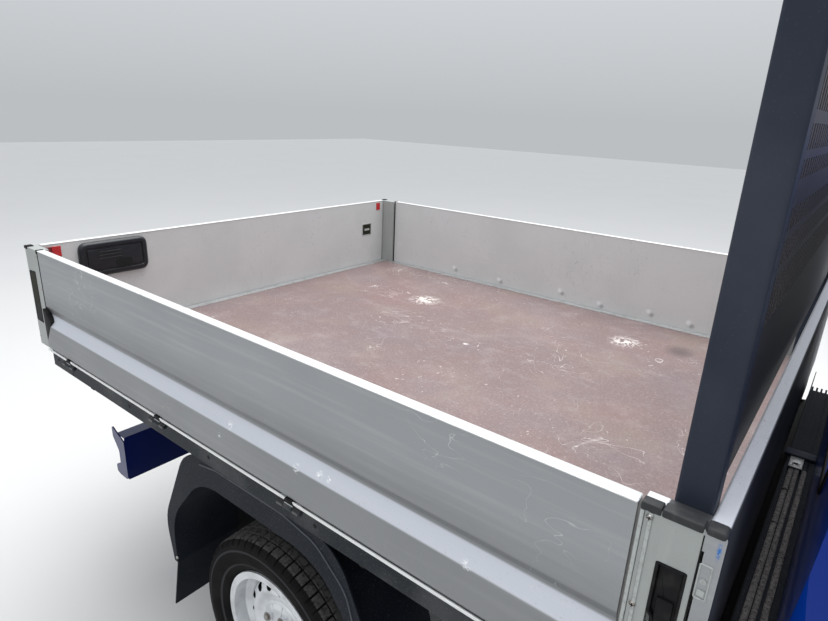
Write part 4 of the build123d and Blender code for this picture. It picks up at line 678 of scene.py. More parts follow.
def plate(shape, outline, axis, low, high, crown):
    """A flat plate with a softened edge: its outer face, at high, is a little smaller."""
    out = math.copysign(1.0, high - low)
    shape.bridge([shape.ring(points, axis, level) for points, level in (
        (outline, low),
        (outline, high - out * crown),
        (inset(outline, crown * 0.4), high - out * crown * 0.35),
        (inset(outline, crown), high),
        (inset(outline, crown + 0.0008), high),
    )])


def ring_frame(shape, outline, width, axis, low, high, crown=0.001):
    """A raised frame that follows an outline, with softened edges."""
    out = math.copysign(1.0, high - low)
    shape.bridge([shape.ring(points, axis, level) for points, level in (
        (outline, low),
        (outline, high - out * crown),
        (inset(outline, crown), high),
        (inset(outline, width - crown), high),
        (inset(outline, width), high - out * crown),
        (inset(outline, width), low),
    )], caps=False)


def bolt(shape, place, out, radius, height, screw=False):
    """A screw or bolt head on a face, standing out along a direction."""
    out = Vector(out)
    place = Vector(place)
    if screw:
        shape.rod(place, place + out * height, radius, 20, radius * 0.75)
        return
    shape.rod(place, place + out * height * 0.25, radius * 1.45, 24)
    shape.rod(place + out * height * 0.2, place + out * height, radius, 6, bevel=height * 0.12)


def dense(points, step=0.03, closed=True):
    """The same line with points added so that it follows a curved skin."""
    runs = list(zip(points, points[1:])) + ([(points[-1], points[0])] if closed else [])
    filled = []
    for start, end in runs:
        count = max(1, math.ceil(math.dist(start, end) / step))
        for number in range(count):
            share = number / count
            filled.append(tuple(a + (b - a) * share for a, b in zip(start, end)))
    return filled if closed else filled + [points[-1]]


class Skin:
    """The outer faces of some CAD nodes, for pieces that follow them."""

    # A distance from the middle that is outside the whole vehicle
    OUTSIDE = 5.0
    # Rows of (share of the width, share of the rise) across a strip
    PROFILE = (
        (-0.5, -0.4), (-0.5, 0.45), (-0.36, 0.85), (-0.12, 1.0),
        (0.12, 1.0), (0.36, 0.85), (0.5, 0.45), (0.5, -0.4),
    )

    def __init__(self, *names):
        corners = []
        faces = []
        for name in names:
            data = nodes[name].data
            first = len(corners)
            corners += [corner.co.copy() for corner in data.vertices]
            faces += [[first + index for index in face.vertices] for face in data.polygons]
        self.tree = BVHTree.FromPolygons(corners, faces)

    def at(self, first, second, axis, side):
        """The first face met from outside, and its direction."""
        start = Vector(put(axis, first, second, side * self.OUTSIDE))
        place, normal, _, _ = self.tree.ray_cast(start, Vector(put(axis, 0.0, 0.0, -side)))
        if place is None:
            return None
        return place, normal if normal[SLOT_OF[axis][2]] * side > 0 else -normal

    def strip(self, shape, points, axis, side, width, rise, closed=True):
        """A raised band that follows a line of points over the skin."""
        placed = [item for item in (self.at(*point, axis, side) for point in points) if item]
        rings = []
        last = len(placed) - 1
        for number, (place, normal) in enumerate(placed):
            before = placed[number - 1 if closed else max(number - 1, 0)][0]
            after = placed[(number + 1) % len(placed) if closed else min(number + 1, last)][0]
            across = normal.cross(after - before).normalized()
            rings.append([
                shape.mesh.verts.new(place + across * (out * width) + normal * (up * rise))
                for out, up in self.PROFILE
            ])
        shape.bridge(rings, caps=not closed, looped=closed)

    def patch(self, shape, points, axis, side, rise, crown=0.0, steps=4):
        """A raised, gently crowned panel on the skin, inside an outline."""
        centre = [sum(values) / len(points) for values in zip(*points)]
        levels = [(1.0, -0.003), (1.0, rise * 0.6), (0.975, rise)]
        for step in range(1, steps):
            share = 0.97 * (1 - step / steps)
            levels.append((share, rise + crown * (1 - share**2)))
        rings = []
        for share, height in levels:
            ring = []
            for point in points:
                spot = [c + (p - c) * share for p, c in zip(point, centre)]
                place, normal = self.at(*spot, axis, side)
                ring.append(shape.mesh.verts.new(place + normal * height))
            rings.append(ring)
        shape.bridge(rings)


# The shape in work: each piece call takes what it holds and leaves it empty
shape = Shape()

# Tyres with their tread, sidewall rings and beads, in place of the plain ones
TREAD_DEPTH = 0.0065
PITCHES = 56
# In shares of a pitch: how far the inner half's blocks lag, and how much all slant for each metre outward
INNER_LAG = 0.35
SLANT = 1.5
# Slots are as deep as the tread only outside this distance from the tyre's middle
SHOULDER = 0.05
# Steps through one pitch of the tread, each with the share of the slots' depth there
STEPS = (
    (0.0, 0.0), (0.05, 1.0), (0.15, 1.0), (0.20, 0.0), (0.44, 0.0), (0.465, 0.14),
    (0.505, 0.14), (0.53, 0.0), (0.74, 0.0), (0.765, 0.14), (0.805, 0.14), (0.83, 0.0),
)
# Rows of (outward, radius, share of the slots' depth) from the bead to the shoulder
SIDEWALL = (
    (0.0735, 0.2046, 0), (0.0765, 0.2120, 0), (0.0775, 0.2205, 0), (0.0800, 0.2225, 0),
    (0.0870, 0.2300, 0), (0.0925, 0.2390, 0), (0.0960, 0.2470, 0), (0.0972, 0.2500, 0),
    (0.0985, 0.2530, 0), (0.1008, 0.2560, 0), (0.1040, 0.2680, 0), (0.1062, 0.2800, 0),
    (0.1069, 0.2900, 0), (0.1064, 0.2985, 0), (0.1070, 0.2995, 0), (0.1068, 0.3025, 0),
    (0.1056, 0.3035, 0), (0.1042, 0.3110, 0), (0.1022, 0.3175, 0.3), (0.0985, 0.3235, 0.8),
    (0.0930, 0.3292, 1), (0.0870, 0.3333, 1), (0.0800, 0.3362, 1),
)
# Rows of (outward, 1 in a groove's floor, share of the slots' depth) from the shoulder to the middle
TREAD_ROWS = (
    (0.0620, 0, 1), (0.0600, 0, 1), (0.0585, 1, 0), (0.0535, 1, 0), (0.0520, 0, 1), (0.0410, 0, 1),
    (0.0300, 0, 1), (0.0285, 1, 0), (0.0235, 1, 0), (0.0220, 0, 0.7), (0.0, 0, 0.7),
)
outer_half = [*SIDEWALL, *(
    (out, TYRE_RADIUS - 0.55 * out**2 - groove * TREAD_DEPTH, cut) for out, groove, cut in TREAD_ROWS
)]
SECTION = outer_half + [(-out, radius, cut) for out, radius, cut in reversed(outer_half[:-1])]


def tyre_piece(place, axle, side):
    corners = []
    for pitch in range(PITCHES):
        for share, depth in STEPS:
            for out, radius, cut in SECTION:
                lag = INNER_LAG if out < 0 else 0.0
                angle = 2 * math.pi * (pitch + share + lag + SLANT * out) / PITCHES
                reach = radius - cut * depth * TREAD_DEPTH * (1.0 if abs(out) > SHOULDER else 0.6)
                corners.append((
                    axle + reach * math.sin(angle),
                    side * (WHEEL_HALF_TRACK + out),
                    TYRE_RADIUS + reach * math.cos(angle),
                ))
    count = len(SECTION)
    turns = PITCHES * len(STEPS)
    faces = []
    for turn in range(turns):
        here = turn * count
        ahead = (turn + 1) % turns * count
        for row in range(count):
            after = (row + 1) % count
            faces.append((here + row, ahead + row, ahead + after, here + after))
    data = bpy.data.meshes.new("tyre")
    data.from_pydata(corners, [], faces)
    shape.take(data)
    bmesh.ops.recalc_face_normals(shape.mesh, faces=shape.mesh.faces)
    made = shape.piece(f"tyre_detail_{place}", LOOKS["tyre"], f"wheel_{place}", 32)
    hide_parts(f"tyre_{place}")


WHEELS = (
    ("front_left", FRONT_AXLE, 1),
    ("front_right", FRONT_AXLE, -1),
    ("rear_left", REAR_AXLE, 1),
    ("rear_right", REAR_AXLE, -1),
)
for place, axle, side in WHEELS:
    tyre_piece(place, axle, side)

# Wheel bolts, hub caps and valves
HUB_FACE = WHEEL_HALF_TRACK + 0.046 + 0.018
for place, axle, side in WHEELS:
    for bolt_x, bolt_z in circle(axle, TYRE_RADIUS, 0.06, 5):
        bolt(shape, (bolt_x, side * HUB_FACE, bolt_z), (0, side, 0), 0.0105, 0.010)
    shape.rod(
        (axle, side * (HUB_FACE + 0.002), TYRE_RADIUS),
        (axle, side * (HUB_FACE + 0.008), TYRE_RADIUS),
        0.026, 40, 0.022,
    )
    shape.piece(f"wheel_bolts_{place}", BOLT_STEEL, f"wheel_{place}")
    valve = Vector((axle + 0.128, side * (WHEEL_HALF_TRACK + 0.040), TYRE_RADIUS + 0.118))
    tip = valve + Vector((0.010, side * 0.030, 0.009))
    shape.rod(valve, tip, 0.0055, 16, 0.0040)
    shape.rod(tip, tip + Vector((0.003, side * 0.009, 0.003)), 0.0045, 16, bevel=0.001)
    shape.piece(f"valve_{place}", DARK, f"wheel_{place}")

# Bright lips along the boards' tops and bottoms, as (depth behind the outer face, height)
SIDE_REAR = BED_REAR + 0.108
SIDE_FRONT = BED_FRONT - 0.120
TAIL_HALF = BED_HALF - 0.045
TOP_LIP = (
    (-0.0012, 1.4055), (-0.0012, 1.4078), (0.0002, 1.4085),
    (0.0232, 1.4085), (0.0245, 1.4078), (0.0245, 1.4062),
)
FOOT_LIP = (
    (-0.0110, 1.0345), (-0.0110, 1.0400), (-0.0148, 1.0412),
    (-0.0166, 1.0400), (-0.0166, 1.0350), (-0.0150, 1.0338),
)


def lips(face, inward, axis, low, high):
    for profile, spare in ((TOP_LIP, 0.001), (FOOT_LIP, 0.002)):
        rows = [(face + inward * depth, height) for depth, height in profile]
        shape.prism(rows, axis, low + spare, high - spare)


for side, name in SIDES:
    lips(side * BED_HALF, -side, "x", SIDE_REAR, SIDE_FRONT)
    shape.piece(f"side_board_lips_{name}", BRIGHT, f"side_board_{name}")
    # Black clips on the bottom lip, over the hinges
    for share in (0.08, 0.36, 0.64, 0.92):
        hinge_x = SIDE_REAR + share * (SIDE_FRONT - SIDE_REAR)
        clip = (
            (hinge_x - 0.020, 1.0320), (hinge_x - 0.013, 1.0440),
            (hinge_x + 0.008, 1.0440), (hinge_x + 0.020, 1.0320),
        )
        shape.prism(clip, "y", side * 1.0070, side * 1.0152, 0.0015)
    # Black end cover of the bulge
    cover = ((SIDE_REAR + 0.0005, 1.196), (SIDE_REAR + 0.062, 1.158), (SIDE_REAR + 0.003, 1.076))
    shape.prism(cover, "y", side * 0.9930, side * 1.0110, 0.001)
    shape.piece(f"side_board_clips_{name}", BLACK, f"side_board_{name}")
lips(BED_REAR, 1, "y", -TAIL_HALF, TAIL_HALF)
shape.piece("tailgate_lips", BRIGHT, "tailgate")

# Front pillars: grooved edge strip, screws, black latch panel, caps and the wall's end latch
WALL_REAR = BED_FRONT - 0.028
FRONT_PILLAR = WALL_REAR - 0.087
PILLAR_LOW, PILLAR_HIGH = 1.036, 1.399
# The plane that the pillars' fittings stand out to
FITTING_FACE = 0.9984
for side, name in SIDES:
    face = side * BED_HALF
    for low, high in ((0.0008, 0.0062), (0.0128, 0.0185)):
        shape.box(
            (FRONT_PILLAR + low, face, PILLAR_LOW),
            (FRONT_PILLAR + high, face + side * 0.0024, PILLAR_HIGH), 0.0008,
        )
    shape.piece(f"front_pillar_strip_{name}", LATCH_GREY, "bed")
    groove_face = face + side * 0.0004
    for line_x in (FRONT_PILLAR + 0.0064, FRONT_PILLAR + 0.0124):
        shape.box((line_x, face, PILLAR_LOW), (line_x + 0.0004, groove_face, PILLAR_HIGH))
    shape.box((WALL_REAR - 0.0012, face, 1.040), (WALL_REAR + 0.0006, groove_face, 1.398))
    shape.piece(f"front_pillar_grooves_{name}", BLACK, "bed")
    screw_slots = Shape()
    screw_x, screw_y = FRONT_PILLAR + 0.0146, side * (BED_HALF + 0.0016)
    for screw_z in (1.3906, 1.2331, 1.075):
        bolt(shape, (screw_x, screw_y, screw_z), (0, side, 0), 0.0052, 0.0024, screw=True)
        for length, width in ((0.0034, 0.0008), (0.0008, 0.0034)):
            screw_slots.box(
                (screw_x - length, screw_y + side * 0.0018, screw_z - width),
                (screw_x + length, screw_y + side * 0.0027, screw_z + width),
            )
    shape.piece(f"front_pillar_screws_{name}", BOLT_STEEL, "bed")
    screw_slots.piece(f"front_pillar_screw_slots_{name}", BLACK, "bed")
    # The latch panel sits in the pillar's recess
    panel = rounded([
        (-0.4846, 1.3262, 0.004), (-0.4412, 1.3268, 0.004), (-0.4412, 1.1775, 0.006),
        (-0.4775, 1.1775, 0.006), (-0.4775, 1.2250, 0.006), (-0.4846, 1.2340, 0.006),
    ], 4)
    ring_frame(shape, panel, 0.0045, "y", side * 0.9850, side * FITTING_FACE)
    plate(shape, inset(panel, 0.004), "y", side * 0.9850, side * 0.9915, 0.002)
    shape.box((-0.4740, side * 0.990, 1.2000), (-0.4500, side * 0.9958, 1.2640), 0.002)
    shape.piece(f"front_latch_panel_{name}", BLACK, "bed")
    # Caps over the pillar's and the wall's top corners
    for low, high, inner, bevel in (
        (-0.5195, -0.4901, 0.9790, 0.0025),
        (-0.4897, -0.4338, 0.9750, 0.0030),
        (-0.4328, -0.4042, 0.9715, 0.0060),
    ):
        shape.box((low, side * inner, 1.3990), (high, side * 0.9990, 1.4125), bevel, 3)
    shape.piece(f"front_pillar_caps_{name}", CAP_GREY, "bed")
    # Small latch on the front wall's end
    latch = round_box((-0.4300, -0.4120), (1.2950, 1.3550), 0.004)
    ring_frame(shape, latch, 0.0028, "y", face, side * 0.9988)
    shape.rod((-0.4210, side * 0.9965, 1.3270), (-0.4210, side * 0.9992, 1.3270), 0.0048, 24, 0.0040)
    shape.box((-0.4262, face, 1.3010), (-0.4158, side * FITTING_FACE, 1.3120), 0.0008)
    shape.piece(f"front_wall_latch_{name}", LATCH_GREY, "bed")
    # Rear pillars: long slot, shade and corner cap
    long_slot = rounded([
        (-2.7420, 1.3200, 0.005), (-2.6890, 1.3240, 0.005),
        (-2.6890, 1.1240, 0.005), (-2.7420, 1.1260, 0.005),
    ], 4)
    ring_frame(shape, long_slot, 0.0040, "y", side * 0.9930, side * FITTING_FACE)
    plate(shape, inset(long_slot, 0.003), "y", side * 0.9820, side * 0.9974, 0.001)
    shape.box((-2.7540, side * 0.9740, 1.3990), (-2.7300, side * 0.9992, 1.4110), 0.002)
    shape.box((-2.6530, side * 0.9740, 1.3960), (-2.6455, side * 0.9992, 1.4100), 0.0015)
    shape.box((-2.6490, side * 0.9700, 1.0420), (-2.6440, side * 0.9975, 1.3960))
    shape.piece(f"rear_pillar_slot_{name}", BLACK, "bed")
    shade = round_box((-2.7370, -2.6940), (1.1950, 1.3160), 0.003)
    plate(shape, shade, "y", side * 0.9970, side * 0.9980, 0.0004)
    shape.piece(f"rear_pillar_shade_{name}", OLIVE, "bed")
    for screw_x, screw_z in ((-2.6600, 1.385), (-2.6600, 1.262), (-2.6600, 1.150), (-2.7440, 1.060)):
        bolt(shape, (screw_x, face, screw_z), (0, side, 0), 0.0040, 0.0016, screw=True)
    shape.piece(f"rear_pillar_screws_{name}", BOLT_STEEL, "bed")

# Red reflectors on the tailgate's inner face; the near one has a half in a darker copy of the red lens, as
# painted shade
TAIL_INNER = BED_REAR + 0.023
for name, low, high, material in (
    ("inner_dark", -0.9440, -0.9185, SHADED_RED_LENS),
    ("inner_bright", -0.9180, -0.8870, RED_LENS),
    ("far", 0.8930, 0.9250, RED_LENS),
):
    outline = round_box((low, high), (1.3550, 1.3970), 0.002)
    plate(shape, outline, "x", TAIL_INNER - 0.0004, TAIL_INNER + 0.0030, 0.0010)
    shape.piece(f"tailgate_reflector_{name}", material, "tailgate")

# Folding step on the tailgate: bevelled border, raised panel, three ribs and a hand hole
STEP = ((-0.8300, -0.5600), (1.2570, 1.3950))
STEP_CORNER = 0.034
rings = []
# Rows of (depth in from the outline, height over the tailgate)
for depth, level in (
    (0.0, 0.0003), (0.0, 0.0120), (0.0040, 0.0175), (0.0070, 0.0195), (0.0100, 0.0205),
    (0.0200, 0.0205), (0.0230, 0.0160), (0.0270, 0.0160), (0.0290, 0.0190), (0.0310, 0.0198),
):
    spans = [(low + depth, high - depth) for low, high in STEP]
    outline = round_box(*spans, max(STEP_CORNER - depth, 0.008), 7)
    rings.append(shape.ring(outline, "x", TAIL_INNER + level))
shape.bridge(rings)
step_detail = shape.piece("tailgate_step_detail", STEP_PLASTIC, "tailgate", 30)
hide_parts("tailgate_step")
for rib_z in (1.3540, 1.3410, 1.3280):
    shape.box(
        (TAIL_INNER + 0.0190, -0.7600, rib_z - 0.0018),
        (TAIL_INNER + 0.0225, -0.6700, rib_z + 0.0018), 0.0012,
    )
shape.piece("tailgate_step_ribs", CAP_GREY, "tailgate", 30)
# The hand hole is a near-black plate, painted shade for its depth
hand_hole = round_box((-0.6980, -0.6280), (1.2860, 1.3190), 0.0155, 8)
plate(shape, hand_hole, "x", TAIL_INNER + 0.0190, TAIL_INNER + 0.0208, 0.0004)
shape.piece("tailgate_step_hole", PIT, "tailgate")

# Latch pocket on the tailgate's far end, seen from inside
pocket = round_box((0.7700, 0.8500), (1.2100, 1.2830), 0.006)
ring_frame(shape, pocket, 0.0060, "x", TAIL_INNER - 0.0003, TAIL_INNER + 0.0022)
shape.box((TAIL_INNER, 0.7900, 1.2400), (TAIL_INNER + 0.0050, 0.8300, 1.2520), 0.0015)
shape.piece("tailgate_latch_pocket", LATCH_GREY, "tailgate")
shade = round_box((0.7755, 0.8445), (1.2155, 1.2775), 0.004)
plate(shape, shade, "x", TAIL_INNER - 0.0003, TAIL_INNER + 0.0008, 0.0003)
shape.piece("tailgate_latch_shade", OLIVE, "tailgate")

# Zinc strips along the floor's edges, with their rivets
rivets = Shape()


def rivet(rivet_x, rivet_y):
    rivets.rod((rivet_x, rivet_y, 1.0392), (rivet_x, rivet_y, 1.0408), 0.0042, 14, 0.0026)


for side, _ in SIDES:
    rows = [
        (side * 0.9420, FLOOR_TOP), (side * 0.9420, 1.0388), (side * 0.9440, 1.0396),
        (side * 0.9660, 1.0396), (side * 0.9690, 1.0410), (side * 0.9690, FLOOR_TOP),
    ]
    shape.prism(rows, "x", BED_REAR + 0.104, BED_FRONT - 0.118)
    for number in range(13):
        rivet(BED_REAR + 0.20 + number * 0.158, side * 0.953)
rows = [
    (BED_REAR + 0.0285, FLOOR_TOP), (BED_REAR + 0.0285, 1.0410), (BED_REAR + 0.0320, 1.0396),
    (BED_REAR + 0.0560, 1.0396), (BED_REAR + 0.0580, 1.0388), (BED_REAR + 0.0580, FLOOR_TOP),
]
shape.prism(rows, "y", -0.9560, 0.9560)
for number in range(12):
    rivet(BED_REAR + 0.045, -0.88 + number * 0.16)
shape.piece("floor_strips", ZINC, "bed")
rivets.piece("floor_rivets", BOLT_STEEL, "bed")

# Side rails: joint covers, small holes and round knobs
for side, name in SIDES:
    face = side * 0.965
    for joint_x in (-2.5786, -0.620):
        shape.box((joint_x - 0.0010, face, 0.930), (joint_x + 0.0010, face + side * 0.0006, 1.012))
    for hole_x, hole_z in (
        # The small holes are near-black discs, painted shade for their depth
        (-2.700, 0.962), (-2.1565, 0.957), (-1.700, 0.957), (-1.250, 0.957), (-0.800, 0.957),
    ):
        shape.rod((hole_x, face - side * 0.001, hole_z), (hole_x, face + side * 0.0005, hole_z), 0.0062, 20)
    shape.piece(f"rail_holes_{name}", PIT, "bed")
    knob_y = side * 0.948
    for knob_x in (-2.4502, -1.1000):
        shape.rod((knob_x, knob_y, 0.9300), (knob_x, knob_y, 0.9190), 0.0150, 24, 0.0125, 0.002)
        shape.rod((knob_x, knob_y, 0.9195), (knob_x, knob_y, 0.9130), 0.0080, 20, bevel=0.001)
    shape.piece(f"rail_knobs_{name}", BLACK, "bed")

# Window gaskets, door trims, handle cups and locks; each door's rear edge, front edge and window
WINDOW_LOW, WINDOW_HIGH = 1.125, 1.815
DOORS = (
    ("front_door", 0.468, 1.472, ((1.472, WINDOW_LOW), (1.472, 1.580), (1.222, WINDOW_HIGH))),
    ("rear_door", -0.185, 0.412, ((0.412, WINDOW_LOW), (0.412, WINDOW_HIGH))),
)
for side, hand in SIDES:
    for door, rear_edge, front_edge, fore in DOORS:
        node = f"{door}_{hand}"
        corners = ((rear_edge, WINDOW_LOW), *fore, (rear_edge, WINDOW_HIGH))
        skin = Skin(node)
        around = rounded([(x, z, 0.010) for x, z in inset(corners, 0.0675)], 4)
        skin.strip(shape, dense(around), "y", side, 0.016, 0.0035)
        shape.piece(f"{node}_gasket", RUBBER, node)
        trim_rows = dense([(rear_edge + 0.045, 0.640), (front_edge - 0.075, 0.640)], 0.05, False)
        skin.strip(shape, trim_rows, "y", side, 0.075, 0.0065, False)
        cup = round_box((rear_edge + 0.085, rear_edge + 0.190), (0.995, 1.060), 0.026)
        skin.patch(shape, dense(cup, 0.02), "y", side, 0.0010)
        shape.piece(f"{node}_trim", DARK, node)
        skin.patch(shape, circle(rear_edge + 0.235, 1.027, 0.013, 24), "y", side, 0.0022, 0.0006, 3)
        shape.piece(f"{node}_lock", BOLT_STEEL, node)

# Gaskets of the windscreen, rear window and quarter windows
shell = Skin("cab_floor", "cab_roof", "cab_sides", "front_wings")
screen = inset([(-0.794, 1.235), (0.794, 1.235), (0.709, 1.865), (-0.709, 1.865)], -0.009)
rows = rounded([(y, z, radius) for (y, z), radius in zip(screen, (0.045, 0.045, 0.095, 0.095))], 8)
shell.strip(shape, dense(rows), "x", 1, 0.018, 0.0040)
pane = inset([(-0.560, 1.280), (0.560, 1.280), (0.530, 1.727), (-0.530, 1.727)], -0.008)
rows = rounded([(y, z, 0.065) for y, z in pane], 8)
shell.strip(shape, dense(rows), "x", -1, 0.018, 0.0040)
for side, _ in SIDES:
    corners = inset([(1.530, 1.215), (1.850, 1.215), (1.530, 1.520)], -0.007)
    rows = rounded([(x, z, 0.018) for x, z in corners], 4)
    shell.strip(shape, dense(rows), "y", side, 0.013, 0.0032)
shape.piece("window_gaskets", RUBBER)

# Wipers
BLADE_LOW = 1.262
glass_skin = Skin("fixed_glass")
for foot_y, low_y, high_y in ((0.640, 0.560, -0.020), (-0.060, -0.140, -0.690)):
    blade = [(low_y + (high_y - low_y) * n / 8, BLADE_LOW + 0.006 * n) for n in range(9)]
    glass_skin.strip(shape, blade, "x", 1, 0.010, 0.014, False)
    middle, out = glass_skin.at(*blade[4], "x", 1)
    pivot, _ = shell.at(foot_y, 1.213, "x", 1)
    lifted = middle + out * 0.019
    bend = pivot.lerp(lifted, 0.5) + Vector((0.012, 0, 0.004))
    arm = [pivot + Vector((-0.004, 0, -0.002)), pivot + Vector((0.014, 0, 0.012)), bend, lifted]
    shape.tube(arm, 0.0048, 12)
    shape.rod(pivot - out * 0.004, pivot + out * 0.016, 0.014, 20, 0.011, 0.002)
shape.piece("wipers", BLACK)

# Wheel arch lips and side repeaters on the front wings
ARCH_RADIUS = 0.428
wings = Skin("front_wings", "bumper")
for side, _ in SIDES:
    angles = [math.radians(degrees) for degrees in range(28, 186, 3)]
    arc = [
        (FRONT_AXLE + ARCH_RADIUS * math.cos(angle), TYRE_RADIUS + ARCH_RADIUS * math.sin(angle))
        for angle in angles
    ]
    wings.strip(shape, arc, "y", side, 0.022, 0.006, False)
shape.piece("arch_lips", DARK)
for side, _ in SIDES:
    repeater = round_box((1.640, 1.730), (0.905, 0.935), 0.014, 4)
    wings.patch(shape, dense(repeater, 0.02), "y", side, 0.005, 0.003)
shape.piece("side_repeaters", AMBER, "vehicle")

# Mirror glass and its rim
for side, hand in SIDES:
    low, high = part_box(f"mirror_{hand}")
    outer = max(abs(low[1]), abs(high[1]))
    across = sorted((side * (outer - 0.118), side * (outer - 0.012)))
    rows = round_box(across, (low[2] + 0.014, high[2] - 0.014), 0.018)
    ring_frame(shape, rows, 0.0060, "x", low[0] + 0.002, low[0] - 0.0030)
    shape.piece(f"mirror_rim_{hand}", RUBBER, f"front_door_{hand}")
    plate(shape, inset(rows, 0.005), "x", low[0] + 0.002, low[0] - 0.0010, 0.0006)
    shape.piece(f"mirror_glass_{hand}", MIRROR, f"front_door_{hand}")

# Headlamp bezels, reflector bowls and turn lamps behind their clear covers
BOWL_Z = 0.785
lamp_skin = Skin("lamps")
bowls = Shape()
turns = Shape()
for side, _ in SIDES:
    bezel = rounded([
        (side * 0.455, 0.668, 0.02), (side * 0.845, 0.668, 0.03),
        (side * 0.845, 0.893, 0.05), (side * 0.455, 0.893, 0.02),
    ], 5)
    lamp_skin.strip(shape, dense(bezel), "x", 1, 0.012, 0.0022)
    for bowl_y, radius in ((side * 0.545, 0.068), (side * 0.690, 0.062)):
        lamp_skin.strip(shape, circle(bowl_y, BOWL_Z, radius, 40), "x", 1, 0.006, 0.0016)
        lamp_skin.patch(bowls, circle(bowl_y, BOWL_Z, radius - 0.006, 40), "x", 1, 0.0008, 0.0014)
    turn = rounded([
        (side * 0.785, 0.690, 0.012), (side * 0.832, 0.690, 0.012),
        (side * 0.832, 0.872, 0.030), (side * 0.785, 0.872, 0.012),
    ], 4)
    lamp_skin.patch(turns, dense(turn, 0.02), "x", 1, 0.0014, 0.0010)
shape.piece("headlamp_bezels", BLACK, "vehicle")
bowls.piece("headlamp_bowls", CHROME_BOWL, "vehicle")
turns.piece("headlamp_turns", AMBER, "vehicle")

# Blank plates, front and rear, with their holders
BEAM_REAR = -2.5225
nose_skin = Skin("bumper")
nose_skin.strip(shape, dense(round_box((-0.268, 0.268), (0.573, 0.648), 0.008)), "x", 1, 0.010, 0.0012)
shape.piece("front_plate_holder", BLACK)
nose_skin.patch(shape, dense(round_box((-0.260, 0.260), (0.579, 0.642), 0.008), 0.02), "x", 1, 0.0008)
shape.piece("front_plate", PLATE_WHITE)
holder = round_box((-0.268, 0.268), (0.474, 0.600), 0.010)
ring_frame(shape, holder, 0.010, "x", BEAM_REAR, BEAM_REAR - 0.0095, 0.0015)
shape.piece("rear_plate_holder", BLACK)
blank = round_box((-0.260, 0.260), (0.482, 0.592), 0.008)
plate(shape, blank, "x", BEAM_REAR, BEAM_REAR - 0.0055, 0.0008)
shape.piece("rear_plate", PLATE_WHITE)

# Rear beam: lamp lenses in rings, bolts and plate lamps
LENS_X, LENS_Z = -2.6065, 0.5355
LENS_RADIUS, LENS_FLAT = 0.0405, 0.30
for side, hand in SIDES:
    for lamp_half, material, label in (
        (0.775, RED_LENS, "outer"), (0.685, AMBER, "middle"), (0.595, CLEAR, "inner"),
    ):
        lamp_y = side * lamp_half
        shape.ball((LENS_X, lamp_y, LENS_Z), LENS_RADIUS, (LENS_FLAT, 1, 1), 18)
        for ring_radius in (0.030, 0.020, 0.010):
            reach = LENS_RADIUS * LENS_FLAT * math.sqrt(1 - (ring_radius / LENS_RADIUS) ** 2)
            shape.tube(hoop("x", (LENS_X - reach, lamp_y, LENS_Z), ring_radius, 32), 0.0012, 6)
        shape.piece(f"tail_lens_{label}_{hand}", material, "vehicle")
        shape.tube(hoop("x", (-2.6040, lamp_y, LENS_Z), 0.0412, 36), 0.0026, 8)
        shape.piece(f"tail_ring_{label}_{hand}", BLACK)
for side, _ in SIDES:
    for bolt_y, bolt_z in ((0.7385, 0.600), (0.7417, 0.470), (0.350, 0.600), (0.350, 0.470)):
        bolt(shape, (BEAM_REAR - 0.0005, side * bolt_y, bolt_z), (-1, 0, 0), 0.0085, 0.009)
for lamp_y in (-0.150, 0.150):
    shape.rod((BEAM_REAR, lamp_y, 0.6150), (BEAM_REAR - 0.0155, lamp_y, 0.6150), 0.0110, 24, 0.0095, 0.0015)
shape.piece("beam_bolts", BOLT_STEEL, "vehicle")

# Moulded beads on the rear mudguards, paler as a painted highlight, and a dark sheet under the gap behind the
# cab, partly painted shade
guard_skin = Skin("rear_mudguards")
GUARD_SIDE = 0.945
CREASE = (
    (-1.785, 0.886, 0.0), (-1.700, 0.902, 0.06), (-1.400, 0.904, 0.20),
    (-1.272, 0.880, 0.12), (-1.162, 0.790, 0.12), (-1.105, 0.600, 0.0),
)
for side, _ in SIDES:
    line = []
    for spot in dense(rounded(CREASE, 8, False), 0.02, False):
        found = guard_skin.at(*spot, "y", side)
        if found and abs(abs(found[0].y) - GUARD_SIDE) < 0.004:
            line.append(spot)
    if len(line) > 3:
        guard_skin.strip(shape, line, "y", side, 0.0058, 0.0026, False)
shape.piece("mudguard_beads", BEAD_HIGHLIGHT_PLASTIC)
for side, _ in SIDES:
    for bolt_x, bolt_z in ((-1.985, 0.420), (-1.970, 0.520), (-1.060, 0.420), (-1.085, 0.540)):
        found = guard_skin.at(bolt_x, bolt_z, "y", side)
        if found:
            bolt(shape, found[0] - found[1] * 0.0005, found[1], 0.006, 0.0035, screw=True)
shape.piece("mudguard_screws", BOLT_STEEL)
# A dark rubber sheet under the gap: in part a panel there, in part painted shade that keeps the floor's light
# out of the gap
gap_sheet = (
    (-0.3880, 1.012), (-0.3895, 0.930), (-0.3960, 0.885),
    (-0.4150, 0.8630), (-0.4700, 0.8590), (-0.5400, 0.8585),
)
gap_sheet_back = [(x - 0.0025, z - 0.0015) for x, z in reversed(gap_sheet)]
shape.prism([*gap_sheet, *gap_sheet_back], "y", -0.925, 0.925)
shape.piece("gap_shade_sheet", RUBBER)

# The flaps' rubber reaches past the inner side of the tyres
FLAP = (
    (-2.0440, 0.1800), (-1.9890, 0.4100), (-1.9870, 0.6000),
    (-1.9910, 0.6000), (-1.9930, 0.4100), (-2.0480, 0.1800),
)
for side, _ in SIDES:
    shape.prism(FLAP, "y", side * 0.6000, side * 0.7005)
shape.piece("mudflap_inner_rubber", RUBBER)

